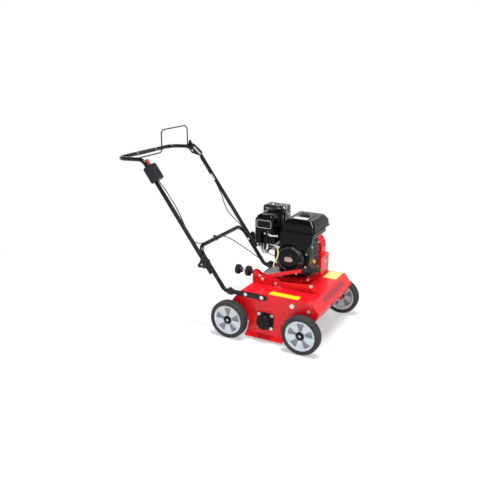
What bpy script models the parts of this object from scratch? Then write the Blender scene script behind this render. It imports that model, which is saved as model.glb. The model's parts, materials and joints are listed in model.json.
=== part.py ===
"""A walk-behind petrol scarifier, built from the separate pieces that it is bolted together from.

Body frame: X forward, Y to the machine's left, Z up, with the origin midway between the two
axles on the axle line. The root empty lifts the body onto its wheels and centres it over the
origin of the world. Side views are given as (x, z) pairs.
"""

import math

import bmesh
import bpy
from mathutils import Vector

GAP = 0.0003            # clearance between pieces that touch or run in each other

# Wheels
WHEEL_R = 0.100
WHEELBASE = 0.3975
TYRE_WIDTH = 0.048
WHEEL_CLEARANCE = 0.0212    # between a tyre and the side plate beside it
TYRE_DEPTH = 0.0228     # from tread to rim
TREAD_GROOVE = 0.0025
AXLE_R = 0.008
HUB_R = 0.019
RIM_LIP = 0.011         # thickness of the rim's outer band
POCKET_DEPTH = 0.010
SPOKES = 5
WHEEL_STEPS = 20

# Deck of bent sheet
SHEET = 0.003
DECK_WIDTH = 0.478
DECK_TOP = 0.152
TAIL_OVERHANG = 0.00495     # deck behind the rear axle
NOSE_OVERHANG = 0.06925     # deck ahead of the front axle
TAIL_Z = 0.0887         # lower edge of the rear panel
NOSE_Z = 0.0997         # lower fold of the front panel
NOSE_RUN = 0.0387       # horizontal run of the front panel
PLATE_FOOT = -0.0075    # lower edge of the side plates
AXLE_LOBE = 0.020       # plate material round the rear axle
SKIRT_SHEET = 0.0025
SKIRT_CREASE = -0.066
SKIRT_FOOT = -0.086
SKIRT_FLARE = 0.016
SKIRT_REAR = -0.106
SKIRT_FRONT = 0.100

# Rotor and belt drive
ROTOR_X = -0.014
ROTOR_Z = 0.010
SHAFT_R = 0.010
SLEEVE_R = 0.016
KNIFE_R = 0.095
KNIFE_SHEET = 0.0025
KNIFE_COUNT = 8
KNIFE_TIPS = 3
KNIFE_TWIST = math.radians(25)
PARTITION_INSET = 0.067     # from the left side plate to the partition
FLANGE_SIZE = 0.088
FLANGE_SHEET = 0.005
BEARING_COVER_R = 0.039
BEARING_COVER_DEPTH = 0.031
BELT_INSET = 0.038          # from the left side plate to the belt
BELT_WIDTH = 0.012
BELT_HEIGHT = 0.008
ROTOR_PULLEY_R = 0.040
ENGINE_PULLEY_R = 0.035
PULLEY_FLANGE = 0.004
IDLER_R = 0.012
IDLER_ARM = 0.045

# Front crank and depth control
CRANK_SETBACK = 0.07175     # cross shaft behind the front axle
CRANK_Z = 0.117
CRANK_R = 0.0125
CRANK_LIFT = math.radians(23.2)
ARM_WIDTH = 0.026
ARM_SHEET = 0.008
ARM_CLEARANCE = 0.004   # between an arm and the side plate beside it
LUG_EYE_X = 0.177
LUG_EYE_Z = 0.189
LUG_Y = -0.116
LEVER_SHEET = 0.006
LEVER_X = -0.091
LEVER_Z = 0.182
LEVER_PIN_R = 0.006
LINK_PIN_X = -0.015
LINK_PIN_Z = 0.172
LINK_HEIGHT = 0.014
LINK_SHEET = 0.005
GRIP_X = 0.120
GRIP_Z = 0.260
GRIP_LENGTH = 0.098
GRIP_R = 0.012
GRIP_TILT = math.radians(12.9)
BRACKET_REAR = -0.148
BRACKET_FRONT = -0.035
BRACKET_HEIGHT = 0.069
BRACKET_Y = -0.110
BRACKET_WIDTH = 0.029
SPINDLE_R = 0.005
SPINDLE_Z = 0.207
SPINDLE_TIP = -0.125
LOCK_KNOB_X = -0.179
LOCK_KNOB_R = 0.0275
DEPTH_KNOB_X = -0.239
DEPTH_KNOB_R = 0.0265
KNOB_THICKNESS = 0.020

# Handles
TUBE_R = 0.011
LOWER_LEG_Y = 0.230
UPPER_LEG_Y = 0.2535
FOLD_X = -0.356
FOLD_Z = 0.266
LEG_SLOPE = math.radians(53.83)
UPPER_LEG = 0.6224      # from the fold bolt up to the bend
LEG_TAIL = 0.0644       # from the fold bolt down to the leg's end
GRIP_RUN = 0.1705       # from the bend back to the crossbar
GRIP_RISE = math.radians(2.6)
UPPER_CORNER = 0.060
LOWER_CORNER = 0.050
LOWER_CROSSBAR = 0.0872  # from the fold bolt up to the lower crossbar
CLAMP_Z = 0.126
CLAMP_REAR = -0.232
CLAMP_FRONT = -0.206
LOWER_BEND = 0.042
BAR_FRONT = -0.009
BAR_HEIGHT = 0.023
BAR_SHEET = 0.008
BAR_Z = 0.134
FOLD_BOLT_R = 0.004
STAR_KNOB_R = 0.029

# Bail and controls
WIRE_R = 0.003
BAIL_BACK = 0.0366      # bail axis behind the bend
BAIL_RISE = 0.0026      # bail axis above the bend
BAIL_HEIGHT = 0.122
BAIL_INNER_Y = -0.030
BAIL_OUTER_Y = 0.226
BAIL_CORNER = 0.018
BOX_LENGTH = 0.092
BOX_HEIGHT = 0.061
BOX_WIDTH = 0.046
BOX_BELOW_BEND = 0.0914 # from the bend down the leg to the box
SHEATH_BELOW_BEND = 0.0774
SHEATH_LENGTH = 0.115
ADJUSTER_LENGTH = 0.032
BOX_OFFSET = 0.014      # box centre above the leg's centre line
LEVER_PIN_INSET = 0.022 # throttle lever's pin below the box's upper end
CABLE_R = 0.0025
CABLE_STEP = 0.028

# Engine
SHAFT_X = 0.034         # engine crankshaft
SHAFT_Z = 0.296
PLINTH_TOP = 0.170
PLATE_TOP = 0.174
MOUNT_TOP = 0.188
MOUNT_R = 0.011
CASE_TOP = 0.370
CASE_REAR = -0.051
CASE_FRONT = 0.119
CASE_NEAR = 0.005
CASE_FAR = 0.120
CYLINDER_TILT = math.radians(16)
CYLINDER_REACH = 0.170  # from the crankshaft to the head's face
CYLINDER_SIZE = 0.082
FIN_PITCH = 0.011
FIN_COUNT = 7
BLOWER_R = 0.098
BLOWER_DEPTH = 0.0547
RECOIL_R = 0.078
RECOIL_DEPTH = 0.035
RECOIL_SLOTS = 12
EMBLEM_R = 0.028        # plain disc in the middle of the starter cover
TANK_REAR = -0.012
TANK_FRONT = 0.165
TANK_NEAR = -0.080
TANK_FAR = 0.140
TANK_BASE = 0.405
TANK_SEAM = 0.447
TANK_TOP = 0.503
CAP_R = 0.024
CLEANER_REAR = -0.160
CLEANER_FRONT = -0.057
CLEANER_FOOT = 0.353
CLEANER_TOP = 0.508
PANEL_INSET = 0.010     # from the cleaner cover's ends to its sunk panel
PANEL_FOOT = 0.448
PANEL_TOP = 0.495
MUFFLER_Z = 0.3923
GUARD_HEIGHT = 0.087
BELT_GUARD_R = 0.082
BELT_GUARD_INSET = 0.007    # from the left side plate to the guard
BELT_GUARD_DEPTH = 0.062
GUARD_SHEET = 0.002

# Places worked out from the sizes above
AXIS_Y = Vector((0, 1, 0))
TRACK = DECK_WIDTH + 2 * WHEEL_CLEARANCE + TYRE_WIDTH
DECK_REAR = -WHEELBASE / 2 - TAIL_OVERHANG
DECK_FRONT = WHEELBASE / 2 + NOSE_OVERHANG
PLATE_Y = DECK_WIDTH / 2
PARTITION_Y = PLATE_Y - PARTITION_INSET
BELT_Y = PLATE_Y - BELT_INSET
BELT_GUARD_FAR = PLATE_Y - BELT_GUARD_INSET
BELT_GUARD_NEAR = BELT_GUARD_FAR - BELT_GUARD_DEPTH
BOX_ALONG = UPPER_LEG - BOX_BELOW_BEND
SHEATH_TOP = UPPER_LEG - SHEATH_BELOW_BEND
SHEATH_FOOT = SHEATH_TOP - SHEATH_LENGTH
REAR_AXLE = Vector((-WHEELBASE / 2, 0))
FRONT_AXLE = Vector((WHEELBASE / 2, 0))
ROTOR = Vector((ROTOR_X, ROTOR_Z))
ENGINE_SHAFT = Vector((SHAFT_X, SHAFT_Z))
CRANK = Vector((WHEELBASE / 2 - CRANK_SETBACK, CRANK_Z))
LUG_EYE = Vector((LUG_EYE_X, LUG_EYE_Z))
LEVER = Vector((LEVER_X, LEVER_Z))
LINK_PIN = Vector((LINK_PIN_X, LINK_PIN_Z))
FOLD = Vector((FOLD_X, FOLD_Z))
LEG = Vector((-math.cos(LEG_SLOPE), math.sin(LEG_SLOPE)))
LEG_NORMAL = Vector((math.sin(LEG_SLOPE), math.cos(LEG_SLOPE)))
BEND = FOLD + UPPER_LEG * LEG
CROSSBAR = BEND + GRIP_RUN * Vector((-math.cos(GRIP_RISE), -math.sin(GRIP_RISE)))
LOWER_BAR = FOLD + LOWER_CROSSBAR * LEG
BAIL = BEND + Vector((-BAIL_BACK, BAIL_RISE))
RIM_R = WHEEL_R - TYRE_DEPTH
BLOWER_FACE = CASE_NEAR - GAP - BLOWER_DEPTH
SIDES = (("right", -1), ("left", 1))


def material(name, colour, roughness, metallic=0.0):
    """A plain painted, plastic or metal surface."""
    surface = bpy.data.materials.new(name)
    surface.use_nodes = True
    shader = surface.node_tree.nodes["Principled BSDF"]
    shader.inputs["Base Color"].default_value = (*colour, 1)
    shader.inputs["Roughness"].default_value = roughness
    shader.inputs["Metallic"].default_value = metallic
    surface.diffuse_color = (*colour, 1)
    return surface


def new_object(name, data):
    """An object in the parts collection."""
    body = bpy.data.objects.new(name, data)
    PARTS.objects.link(body)
    return body


def box(name, low, high, bevel=0.0, segments=2):
    """A block between two opposite corners, with its edges rounded on request."""
    shape = bmesh.new()
    bmesh.ops.create_cube(shape, size=1)
    bmesh.ops.scale(shape, vec=Vector(high) - Vector(low), verts=shape.verts)
    mesh = bpy.data.meshes.new(name)
    shape.to_mesh(mesh)
    shape.free()
    body = new_object(name, mesh)
    body.location = (Vector(low) + Vector(high)) / 2
    if bevel:
        round_edges(body, bevel, segments)
    return body


def round_edges(body, width, segments=2):
    bevel = body.modifiers.new("round", "BEVEL")
    bevel.width = width
    bevel.segments = segments
    bevel.limit_method = "ANGLE"
    bevel.angle_limit = math.radians(30)


def cylinder(name, start, end, radius, sides=14, tip=None):
    """A round bar between two points, or a cone that ends in the tip radius."""
    start, end = Vector(start), Vector(end)
    run = end - start
    shape = bmesh.new()
    bmesh.ops.create_cone(shape, cap_ends=True, segments=sides, radius1=radius,
                          radius2=radius if tip is None else tip, depth=run.length)
    mesh = bpy.data.meshes.new(name)
    shape.to_mesh(mesh)
    shape.free()
    mesh.shade_smooth()
    mesh.set_sharp_from_angle(angle=math.radians(40))
    body = new_object(name, mesh)
    body.location = (start + end) / 2
    body.rotation_euler = Vector((0, 0, 1)).rotation_difference(run).to_euler()
    return body


def around(radius, sides):
    """Radius of a faceted bore that leaves the gap all round a bar of the given radius."""
    return (radius + GAP) / math.cos(math.pi / sides)


def bore(name, start, end, radius, sides=14):
    """A cutter that clears a bar of the given radius."""
    return cylinder(name, start, end, around(radius, sides), sides)


def cross_bar(name, spot, low, high, radius, sides=14):
    """A round bar across the machine at a side-view spot."""
    return cylinder(name, (spot[0], low, spot[1]), (spot[0], high, spot[1]), radius, sides)


def cross_bore(name, spot, low, high, radius, sides=14):
    return bore(name, (spot[0], low, spot[1]), (spot[0], high, spot[1]), radius, sides)


def turned(name, profile, place, axis, steps, ring=False, phase=0.0):
    """A turned piece: (radius, height) points that run down the outer side along the axis."""
    mesh = bpy.data.meshes.new(name)
    edges = [(i, i + 1) for i in range(len(profile) - 1)]
    if ring:
        edges.append((len(profile) - 1, 0))
    mesh.from_pydata([(radius * math.cos(phase), radius * math.sin(phase), height) for radius, height in profile],
                     edges, [])
    body = new_object(name, mesh)
    body.location = place
    body.rotation_euler = Vector((0, 0, 1)).rotation_difference(Vector(axis)).to_euler()
    screw = body.modifiers.new("turn", "SCREW")
    screw.steps = steps
    screw.render_steps = steps
    screw.use_merge_vertices = True
    screw.merge_threshold = 0.00001
    screw.use_smooth_shade = True
    return body


def plate(name, outline, low, high, axis="Y", holes=()):
    """A flat outline given thickness along an axis: (x, z) for Y, (x, y) for Z, (y, z) for X."""
    curve = bpy.data.curves.new(name, "CURVE")
    curve.dimensions = "2D"
    curve.fill_mode = "BOTH"
    curve.extrude = (high - low) / 2
    for loop in (outline, *holes):
        spline = curve.splines.new("POLY")
        spline.points.add(len(loop) - 1)
        for control, (u, v) in zip(spline.points, loop):
            control.co = (u, v, 0, 1)
        spline.use_cyclic_u = True
    body = new_object(name, curve)
    middle = (low + high) / 2
    body.location = {"X": (middle, 0, 0), "Y": (0, middle, 0), "Z": (0, 0, middle)}[axis]
    quarter = math.pi / 2
    body.rotation_euler = {"X": (quarter, 0, quarter), "Y": (quarter, 0, 0), "Z": (0, 0, 0)}[axis]
    return body


def tube(name, points, radius, sides=8):
    """A round tube or wire along 3D points."""
    curve = bpy.data.curves.new(name, "CURVE")
    curve.dimensions = "3D"
    curve.bevel_depth = radius
    curve.bevel_resolution = (sides - 4) // 2
    curve.use_fill_caps = True
    spline = curve.splines.new("POLY")
    spline.points.add(len(points) - 1)
    for control, place in zip(spline.points, points):
        control.co = (*place, 1)
    spline.use_smooth = True
    return new_object(name, curve)


def as_mesh(body):
    """The same shape as a closed mesh, so that it can be cut or joined."""
    if body.type == "MESH":
        return body
    bpy.context.view_layer.update()
    evaluated = body.evaluated_get(bpy.context.evaluated_depsgraph_get())
    mesh = bpy.data.meshes.new_from_object(evaluated)
    shape = bmesh.new()
    shape.from_mesh(mesh)
    bmesh.ops.remove_doubles(shape, verts=shape.verts, dist=0.00001)
    bmesh.ops.recalc_face_normals(shape, faces=shape.faces)
    shape.to_mesh(mesh)
    shape.free()
    name = body.name
    where = body.matrix_world.copy()
    bpy.data.objects.remove(body)
    mesh.name = name
    solid = new_object(name, mesh)
    solid.matrix_world = where
    return solid


def combine(body, operation, tools):
    body = as_mesh(body)
    for tool in tools:
        tool = as_mesh(tool)
        PARTS.objects.unlink(tool)
        CUTTERS.objects.link(tool)
        tool.hide_render = True
        tool.display_type = "WIRE"
        boolean = body.modifiers.new(tool.name, "BOOLEAN")
        boolean.operation = operation
        boolean.solver = "EXACT"
        boolean.object = tool
    return body


def cut(body, *tools):
    """Cuts the tools out of the body."""
    return combine(body, "DIFFERENCE", tools)


def join(body, *tools):
    """Makes the tools one solid with the body."""
    return combine(body, "UNION", tools)


def finish(body, surface, holder=None):
    """Gives a piece its surface and the holder that it moves with."""
    body.data.materials.append(surface)
    if holder:
        ride(body, holder)
    return body


def pivot(name, place, holder=None):
    """An empty on a joint's axis."""
    empty = bpy.data.objects.new(name, None)
    empty.empty_display_size = 0.03
    PARTS.objects.link(empty)
    empty.location = place
    if holder:
        ride(empty, holder)
    return empty


def place_of(body):
    """Where an object stands in the body frame, through the holders that carry it."""
    return body.location + (place_of(body.parent) if body.parent else Vector((0, 0, 0)))


def ride(body, holder):
    body.location = body.location - place_of(holder)
    body.parent = holder


def fillet(points, radius, steps=4, closed=False):
    """A path whose corners are turned into arcs of the radius; works in 2D and in 3D."""
    points = [Vector(point) for point in points]
    rounded = []
    for i, corner in enumerate(points):
        if not closed and i in (0, len(points) - 1):
            rounded.append(corner)
            continue
        back = (points[i - 1] - corner).normalized()
        ahead = (points[(i + 1) % len(points)] - corner).normalized()
        half = back.angle(ahead) / 2
        turn = math.pi - 2 * half
        centre = corner + (back + ahead).normalized() * radius / math.sin(half)
        start = corner + back * radius / math.tan(half) - centre
        end = corner + ahead * radius / math.tan(half) - centre
        for k in range(steps + 1):
            share = k / steps
            blend = start * math.sin((1 - share) * turn) + end * math.sin(share * turn)
            rounded.append(centre + blend / math.sin(turn))
    return rounded


def arc(centre, radius, start, end, steps):
    """Points on an arc between two angles in radians, both ends included."""
    return [Vector((centre[0] + radius * math.cos(start + (end - start) * k / steps),
                    centre[1] + radius * math.sin(start + (end - start) * k / steps)))
            for k in range(steps + 1)]


def rectangle(low_u, high_u, low_v, high_v):
    return [Vector((low_u, low_v)), Vector((high_u, low_v)), Vector((high_u, high_v)),
            Vector((low_u, high_v))]


def offset(path, distance):
    """An open path moved sideways, to its right where the distance is positive."""
    path = [Vector(point) for point in path]
    shifted = []
    for i, point in enumerate(path):
        runs = [(b - a).normalized() for a, b in zip(path[max(i - 1, 0):i + 1], path[max(i, 1):i + 2])]
        normals = [Vector((run.y, -run.x)) for run in runs]
        if i == 0:
            runs, normals = runs[:1], normals[:1]
        middle = sum(normals, Vector((0, 0))).normalized()
        shifted.append(point + middle * distance / middle.dot(normals[0]))
    return shifted


def hull_of_two(first, first_r, second, second_r, steps=6):
    """The outline of a band round two circles, going round anticlockwise."""
    run = second - first
    heading = math.atan2(run.y, run.x)
    spread = math.acos((first_r - second_r) / run.length)
    return (arc(second, second_r, heading - spread, heading + spread, steps)
            + arc(first, first_r, heading + spread, heading - spread + 2 * math.pi, steps))


def scallops(radius, depth, count, steps):
    """A knob's outline with a number of finger hollows."""
    return [Vector((math.cos(angle), math.sin(angle))) * (radius + depth * (math.cos(count * angle) - 1))
            for angle in (2 * math.pi * k / steps for k in range(steps))]


def moved(outline, centre):
    return [point + Vector(centre) for point in outline]


def side_span(side, near, far):
    """A pair of Y values on one side of the machine, the lower one first."""
    return sorted((side * near, side * far))


def lift(spot, y):
    """A side-view spot as a 3D place."""
    return Vector((spot[0], y, spot[1]))


def deck_path():
    """Outer face of the bent sheet, from the rear lower edge over the top to the front lip."""
    return [(DECK_REAR, TAIL_Z), (DECK_REAR + 0.014, TAIL_Z + 0.019),
            (DECK_REAR + 0.045, DECK_TOP - 0.009), (DECK_REAR + 0.054, DECK_TOP),
            (DECK_FRONT - NOSE_RUN, DECK_TOP), (DECK_FRONT, NOSE_Z),
            (DECK_FRONT - 0.014, NOSE_Z - 0.028), (DECK_FRONT - 0.024, NOSE_Z - 0.048)]


def side_plate_outline():
    """Side plate: the sheet's profile, cut back at the front for the swing of the stub axle."""
    reach = (FRONT_AXLE - CRANK).length - AXLE_R - 0.0135
    low = math.atan2(FRONT_AXLE.y - CRANK.y, FRONT_AXLE.x - CRANK.x)
    swing = arc(CRANK, reach, low + CRANK_LIFT + 0.07, low - 0.24, 5)
    foot = [(swing[-1].x - 0.013, PLATE_FOOT), (REAR_AXLE.x + 0.034, PLATE_FOOT)]
    lobe = arc(REAR_AXLE, AXLE_LOBE, -0.35 * math.pi, -math.pi, 5)
    return deck_path() + swing + foot + lobe


def deck_shell():
    """Top, nose and tail in one bent sheet with a side plate at each end, open underneath."""
    inside = offset(deck_path(), SHEET)
    inside += [(DECK_FRONT, -0.1), (DECK_REAR - 0.1, -0.1), (DECK_REAR - 0.1, TAIL_Z - 0.012)]
    inner_y = PLATE_Y - SHEET
    shell = cut(plate("deck_shell", side_plate_outline(), -PLATE_Y, PLATE_Y),
                plate("cut_deck_inside", inside, -inner_y, inner_y),
                cross_bore("cut_rear_axle", REAR_AXLE, -0.3, 0.3, AXLE_R),
                cross_bore("cut_cross_shaft", CRANK, -0.3, 0.3, CRANK_R),
                cross_bore("cut_flap_rod", FLAP, -0.3, 0.3, FLAP_ROD_R),
                cross_bore("cut_rotor_shaft", ROTOR, -0.3, 0, SHAFT_R + 0.003),
                box("cut_lug_slot", (CRANK.x - 0.029, LUG_Y - LEVER_SHEET / 2 - 0.002, DECK_TOP - 0.01),
                    (LUG_EYE.x + 0.010, LUG_Y + LEVER_SHEET / 2 + 0.002, DECK_TOP + 0.01)),
                box("cut_belt_slot", (ROTOR.x - 0.034, BELT_Y - BELT_WIDTH, DECK_TOP - 0.01),
                    (SHAFT_X + 0.030, BELT_Y + BELT_WIDTH, DECK_TOP + 0.01)))
    finish(shell, RED)


def side_skirt(word, side):
    """Sheet that hangs inside the side plate and flares out at its foot."""
    face = PLATE_Y - SHEET - GAP
    path = [(face, PLATE_FOOT + 0.006), (face, SKIRT_CREASE), (face + SKIRT_FLARE + SHEET, SKIRT_FOOT)]
    section = path + offset(path, SKIRT_SHEET)[::-1]
    if side < 0:
        section = [(-y, z) for y, z in section[::-1]]
    rear = [(SKIRT_REAR, 0.01), (SKIRT_REAR - 0.022, SKIRT_FOOT - 0.01),
            (SKIRT_REAR - 0.1, SKIRT_FOOT - 0.01), (SKIRT_REAR - 0.1, 0.01)]
    front = [(SKIRT_FRONT + 0.1, 0.01), (SKIRT_FRONT + 0.1, SKIRT_FOOT - 0.01),
             (SKIRT_FRONT - 0.020, SKIRT_FOOT - 0.01), (SKIRT_FRONT, SKIRT_CREASE + 0.01),
             (SKIRT_FRONT, 0.01)]
    low, high = side_span(side, face - 0.03, face + 0.03)
    skirt = cut(plate(f"side_skirt_{word}", section, SKIRT_REAR - 0.04, SKIRT_FRONT + 0.01, "X"),
                plate(f"cut_skirt_rear_{word}", rear, low, high),
                plate(f"cut_skirt_front_{word}", front, low, high))
    finish(skirt, RED)


def rear_flap():
    """Discharge flap whose rod turns in the side plates, leaning back past the rear axle."""
    eye = 0.008
    foot = FLAP + Vector((-0.034, -0.158))
    face = Vector((-eye, 0))
    skin = [FLAP + face, foot, foot + Vector((0.0025, 0)), FLAP + face + Vector((0.003, 0))]
    half = PLATE_Y - SHEET - 0.001
    end = PLATE_Y + 0.002
    flap = join(plate("rear_flap", skin, -half, half),
                cross_bar("join_flap_eye", FLAP, -half, half, eye, 16),
                cross_bar("join_flap_rod", FLAP, -end, end, FLAP_ROD_R, 16))
    finish(flap, RUBBER, pivot("rear_flap_axis", lift(FLAP, 0)))


def rear_axle():
    """Rod through both side plates, with spacers outside them and reduced bolt ends."""
    spacer = PLATE_Y + GAP
    hub = TRACK / 2 - TYRE_WIDTH / 2 + 0.0015
    end = TRACK / 2 + TYRE_WIDTH / 2 - 0.009
    half = [(0.0, end + 0.007), (0.0065, end + 0.007), (0.0065, end), (AXLE_R, end), (AXLE_R, hub),
            (0.012, hub), (0.012, spacer), (AXLE_R, spacer)]
    profile = half + [(r, -h) for r, h in half[::-1]]
    finish(turned("rear_axle", profile, lift(REAR_AXLE, 0), AXIS_Y, 12), ZINC)


def wheel(place_word, spot, side, holder):
    """Rim with recessed pockets, and its tyre, turning on one axis empty."""
    word = f"{place_word}_{'right' if side < 0 else 'left'}"
    centre = lift(spot, side * TRACK / 2)
    axis = pivot(f"wheel_{word}_axis", centre, holder)
    half = TYRE_WIDTH / 2
    web = half - 0.008
    bore_r = around(AXLE_R, WHEEL_STEPS)
    outer = RIM_R - GAP
    profile = [(bore_r, half - 0.002), (HUB_R - 0.001, half - 0.001), (HUB_R, web), (outer - RIM_LIP, web),
               (outer - RIM_LIP + 0.002, half - 0.004), (outer, half - 0.004), (outer, -half + 0.003),
               (outer - RIM_LIP, web - 0.014), (HUB_R, web - 0.014), (bore_r, -half + 0.002)]
    rim = turned(f"rim_{word}", profile, centre, side * AXIS_Y, WHEEL_STEPS, True, math.pi / WHEEL_STEPS)
    pockets = []
    for spoke in range(SPOKES):
        angle = 2 * math.pi * spoke / SPOKES + math.pi / 2
        wide = arc((0, 0), outer - RIM_LIP - 0.001, angle - 0.30, angle + 0.30, 2)
        narrow = arc((0, 0), HUB_R + 0.005, angle + 0.26, angle - 0.26, 1)
        pockets.append(moved(wide + narrow, spot))
    low, high = side_span(side, TRACK / 2 + web - POCKET_DEPTH, TRACK / 2 + half)
    rim = cut(rim, plate(f"cut_pockets_{word}", pockets[0], low, high, holes=pockets[1:]))
    finish(rim, RIM_GREY, axis)
    groove = WHEEL_R - TREAD_GROOVE
    outside = [(RIM_R, half - 0.003), (RIM_R + 0.012, half), (WHEEL_R - 0.0025, half - 0.002),
               (WHEEL_R, half - 0.006), (WHEEL_R, 0.0078), (groove, 0.0070), (groove, 0.0044), (WHEEL_R, 0.0036)]
    section = outside + [(r, -h) for r, h in outside[::-1]]
    tyre = turned(f"tyre_{word}", section, centre, side * AXIS_Y, WHEEL_STEPS, True, math.pi / WHEEL_STEPS)
    finish(tyre, TYRE, axis)


def bearing():
    """Square flange on the right side plate that carries the rotor, under a deep round cover."""
    face = -PLATE_Y - GAP
    half = FLANGE_SIZE / 2
    outline = moved(fillet(rectangle(-half, half, -half, half), 0.012, 3, closed=True), ROTOR)
    flange = plate("bearing_flange", outline, face - FLANGE_SHEET, face)
    reach = half - 0.010
    bolts = [cross_bar(f"join_flange_bolt_{i}", ROTOR + Vector((x, z)), face - FLANGE_SHEET - 0.004,
                       face - 0.001, 0.006, 6)
             for i, (x, z) in enumerate(((reach, reach), (-reach, reach), (reach, -reach), (-reach, -reach)))]
    flange = join(flange, *bolts)
    cut(flange, cross_bore("cut_flange_bore", ROTOR, face - 0.02, face + 0.02, SHAFT_R))
    finish(flange, BLACK)
    seat = face - FLANGE_SHEET - GAP
    radius = BEARING_COVER_R
    depth = BEARING_COVER_DEPTH
    profile = [(0, depth), (radius - 0.006, depth), (radius - 0.002, depth - 0.003), (radius, depth - 0.009),
               (radius, 0.0), (SHAFT_R + 0.004, 0.0), (SHAFT_R + 0.004, depth - 0.008), (0, depth - 0.008)]
    finish(turned("bearing_cover", profile, lift(ROTOR, seat), -AXIS_Y, 18), BLACK)


def belt_partition():
    """Plate inside the deck that carries the rotor's left bearing and closes off the belt."""
    top = DECK_TOP - SHEET - GAP
    outline = [(ROTOR.x - 0.05, PLATE_FOOT), (ROTOR.x + 0.05, PLATE_FOOT), (CRANK.x - 0.030, ROTOR.y + 0.07),
               (CRANK.x - 0.030, top), (DECK_REAR + 0.060, top), (DECK_REAR + 0.060, ROTOR.y + 0.06)]
    half = SHEET / 2
    wall = join(plate("belt_partition", outline, PARTITION_Y - half, PARTITION_Y + half),
                cross_bar("join_bearing_boss", ROTOR, PARTITION_Y - half, PARTITION_Y + 0.010, 0.024, 16))
    cut(wall, cross_bore("cut_partition_bore", ROTOR, 0.1, 0.25, SHAFT_R))
    finish(wall, BLACK)


def rotor():
    """Shaft, sleeve, knives and belt pulley that turn together."""
    axis = pivot("rotor_axis", lift(ROTOR, 0))
    sleeve_far = PARTITION_Y - SHEET - 0.004
    sleeve_near = -PLATE_Y + SHEET + 0.006
    end = -PLATE_Y - FLANGE_SHEET - 0.018
    profile = [(0, PULLEY_FAR + 0.004), (SHAFT_R, PULLEY_FAR + 0.004), (SHAFT_R, sleeve_far),
               (SLEEVE_R, sleeve_far), (SLEEVE_R, sleeve_near), (SHAFT_R, sleeve_near), (SHAFT_R, end), (0, end)]
    shaft = turned("rotor", profile, lift(ROTOR, 0), AXIS_Y, 12)
    knives = []
    room = sleeve_far - sleeve_near - 0.030
    for knife in range(KNIFE_COUNT):
        y = sleeve_near + 0.015 + room * knife / (KNIFE_COUNT - 1)
        outline = []
        for tip in range(KNIFE_TIPS):
            angle = knife * KNIFE_TWIST + 2 * math.pi * tip / KNIFE_TIPS
            outline += arc(ROTOR, 0.030, angle - 0.55, angle - 0.55, 1)[:1]
            outline += arc(ROTOR, KNIFE_R, angle - 0.07, angle + 0.07, 1)
            outline += arc(ROTOR, 0.030, angle + 0.55, angle + 0.55, 1)[:1]
        knives.append(plate(f"join_knife_{knife}", outline, y, y + KNIFE_SHEET))
    finish(join(shaft, *knives), STEEL, axis)
    pulley("rotor_pulley", ROTOR, ROTOR_PULLEY_R, 0.0, axis)


def pulley(name, spot, belt_r, shaft_end, holder):
    """Grooved wheel whose belt runs at the given outer radius."""
    core = belt_r - BELT_HEIGHT - GAP
    rim = belt_r + 0.0015
    groove = BELT_WIDTH / 2 + GAP
    edge = groove + PULLEY_FLANGE
    centre = around(SHAFT_R, 16) if not shaft_end else 0
    if shaft_end:
        profile = [(0, edge), (rim, edge), (rim, groove), (core, groove), (core, -groove), (rim, -groove),
                   (rim, -edge), (SHAFT_R, -edge), (SHAFT_R, shaft_end), (0, shaft_end)]
    else:
        profile = [(centre, edge), (rim, edge), (rim, groove), (core, groove), (core, -groove),
                   (rim, -groove), (rim, -edge), (centre, -edge)]
    wheel_body = turned(name, profile, lift(spot, BELT_Y), AXIS_Y, 16, ring=not shaft_end)
    finish(wheel_body, STEEL, holder)


def drive_belt():
    """V belt along the outer tangents of both pulleys."""
    outer = hull_of_two(ROTOR, ROTOR_PULLEY_R, ENGINE_SHAFT, ENGINE_PULLEY_R, 10)
    inner = hull_of_two(ROTOR, ROTOR_PULLEY_R - BELT_HEIGHT + GAP, ENGINE_SHAFT,
                        ENGINE_PULLEY_R - BELT_HEIGHT + GAP, 10)
    belt = plate("drive_belt", outer, BELT_Y - BELT_WIDTH / 2, BELT_Y + BELT_WIDTH / 2, holes=[inner])
    finish(belt, RUBBER)


def idler():
    """Arm on the belt guard's pin whose roller tightens the belt."""
    axis = pivot("idler_arm_axis", lift(IDLER, BELT_Y))
    roller = IDLER + Vector((0, IDLER_ARM))
    near = BELT_GUARD_NEAR + GUARD_SHEET + 0.003
    arm = join(plate("idler_arm", hull_of_two(IDLER, 0.009, roller, 0.007, 5), near, near + 0.004),
               cross_bar("join_idler_roller", roller, near + 0.002, BELT_Y + BELT_WIDTH / 2, IDLER_R, 16))
    cut(arm, cross_bore("cut_idler_bore", IDLER, near - 0.01, near + 0.01, 0.004, 12))
    finish(arm, STEEL, axis)


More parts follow.
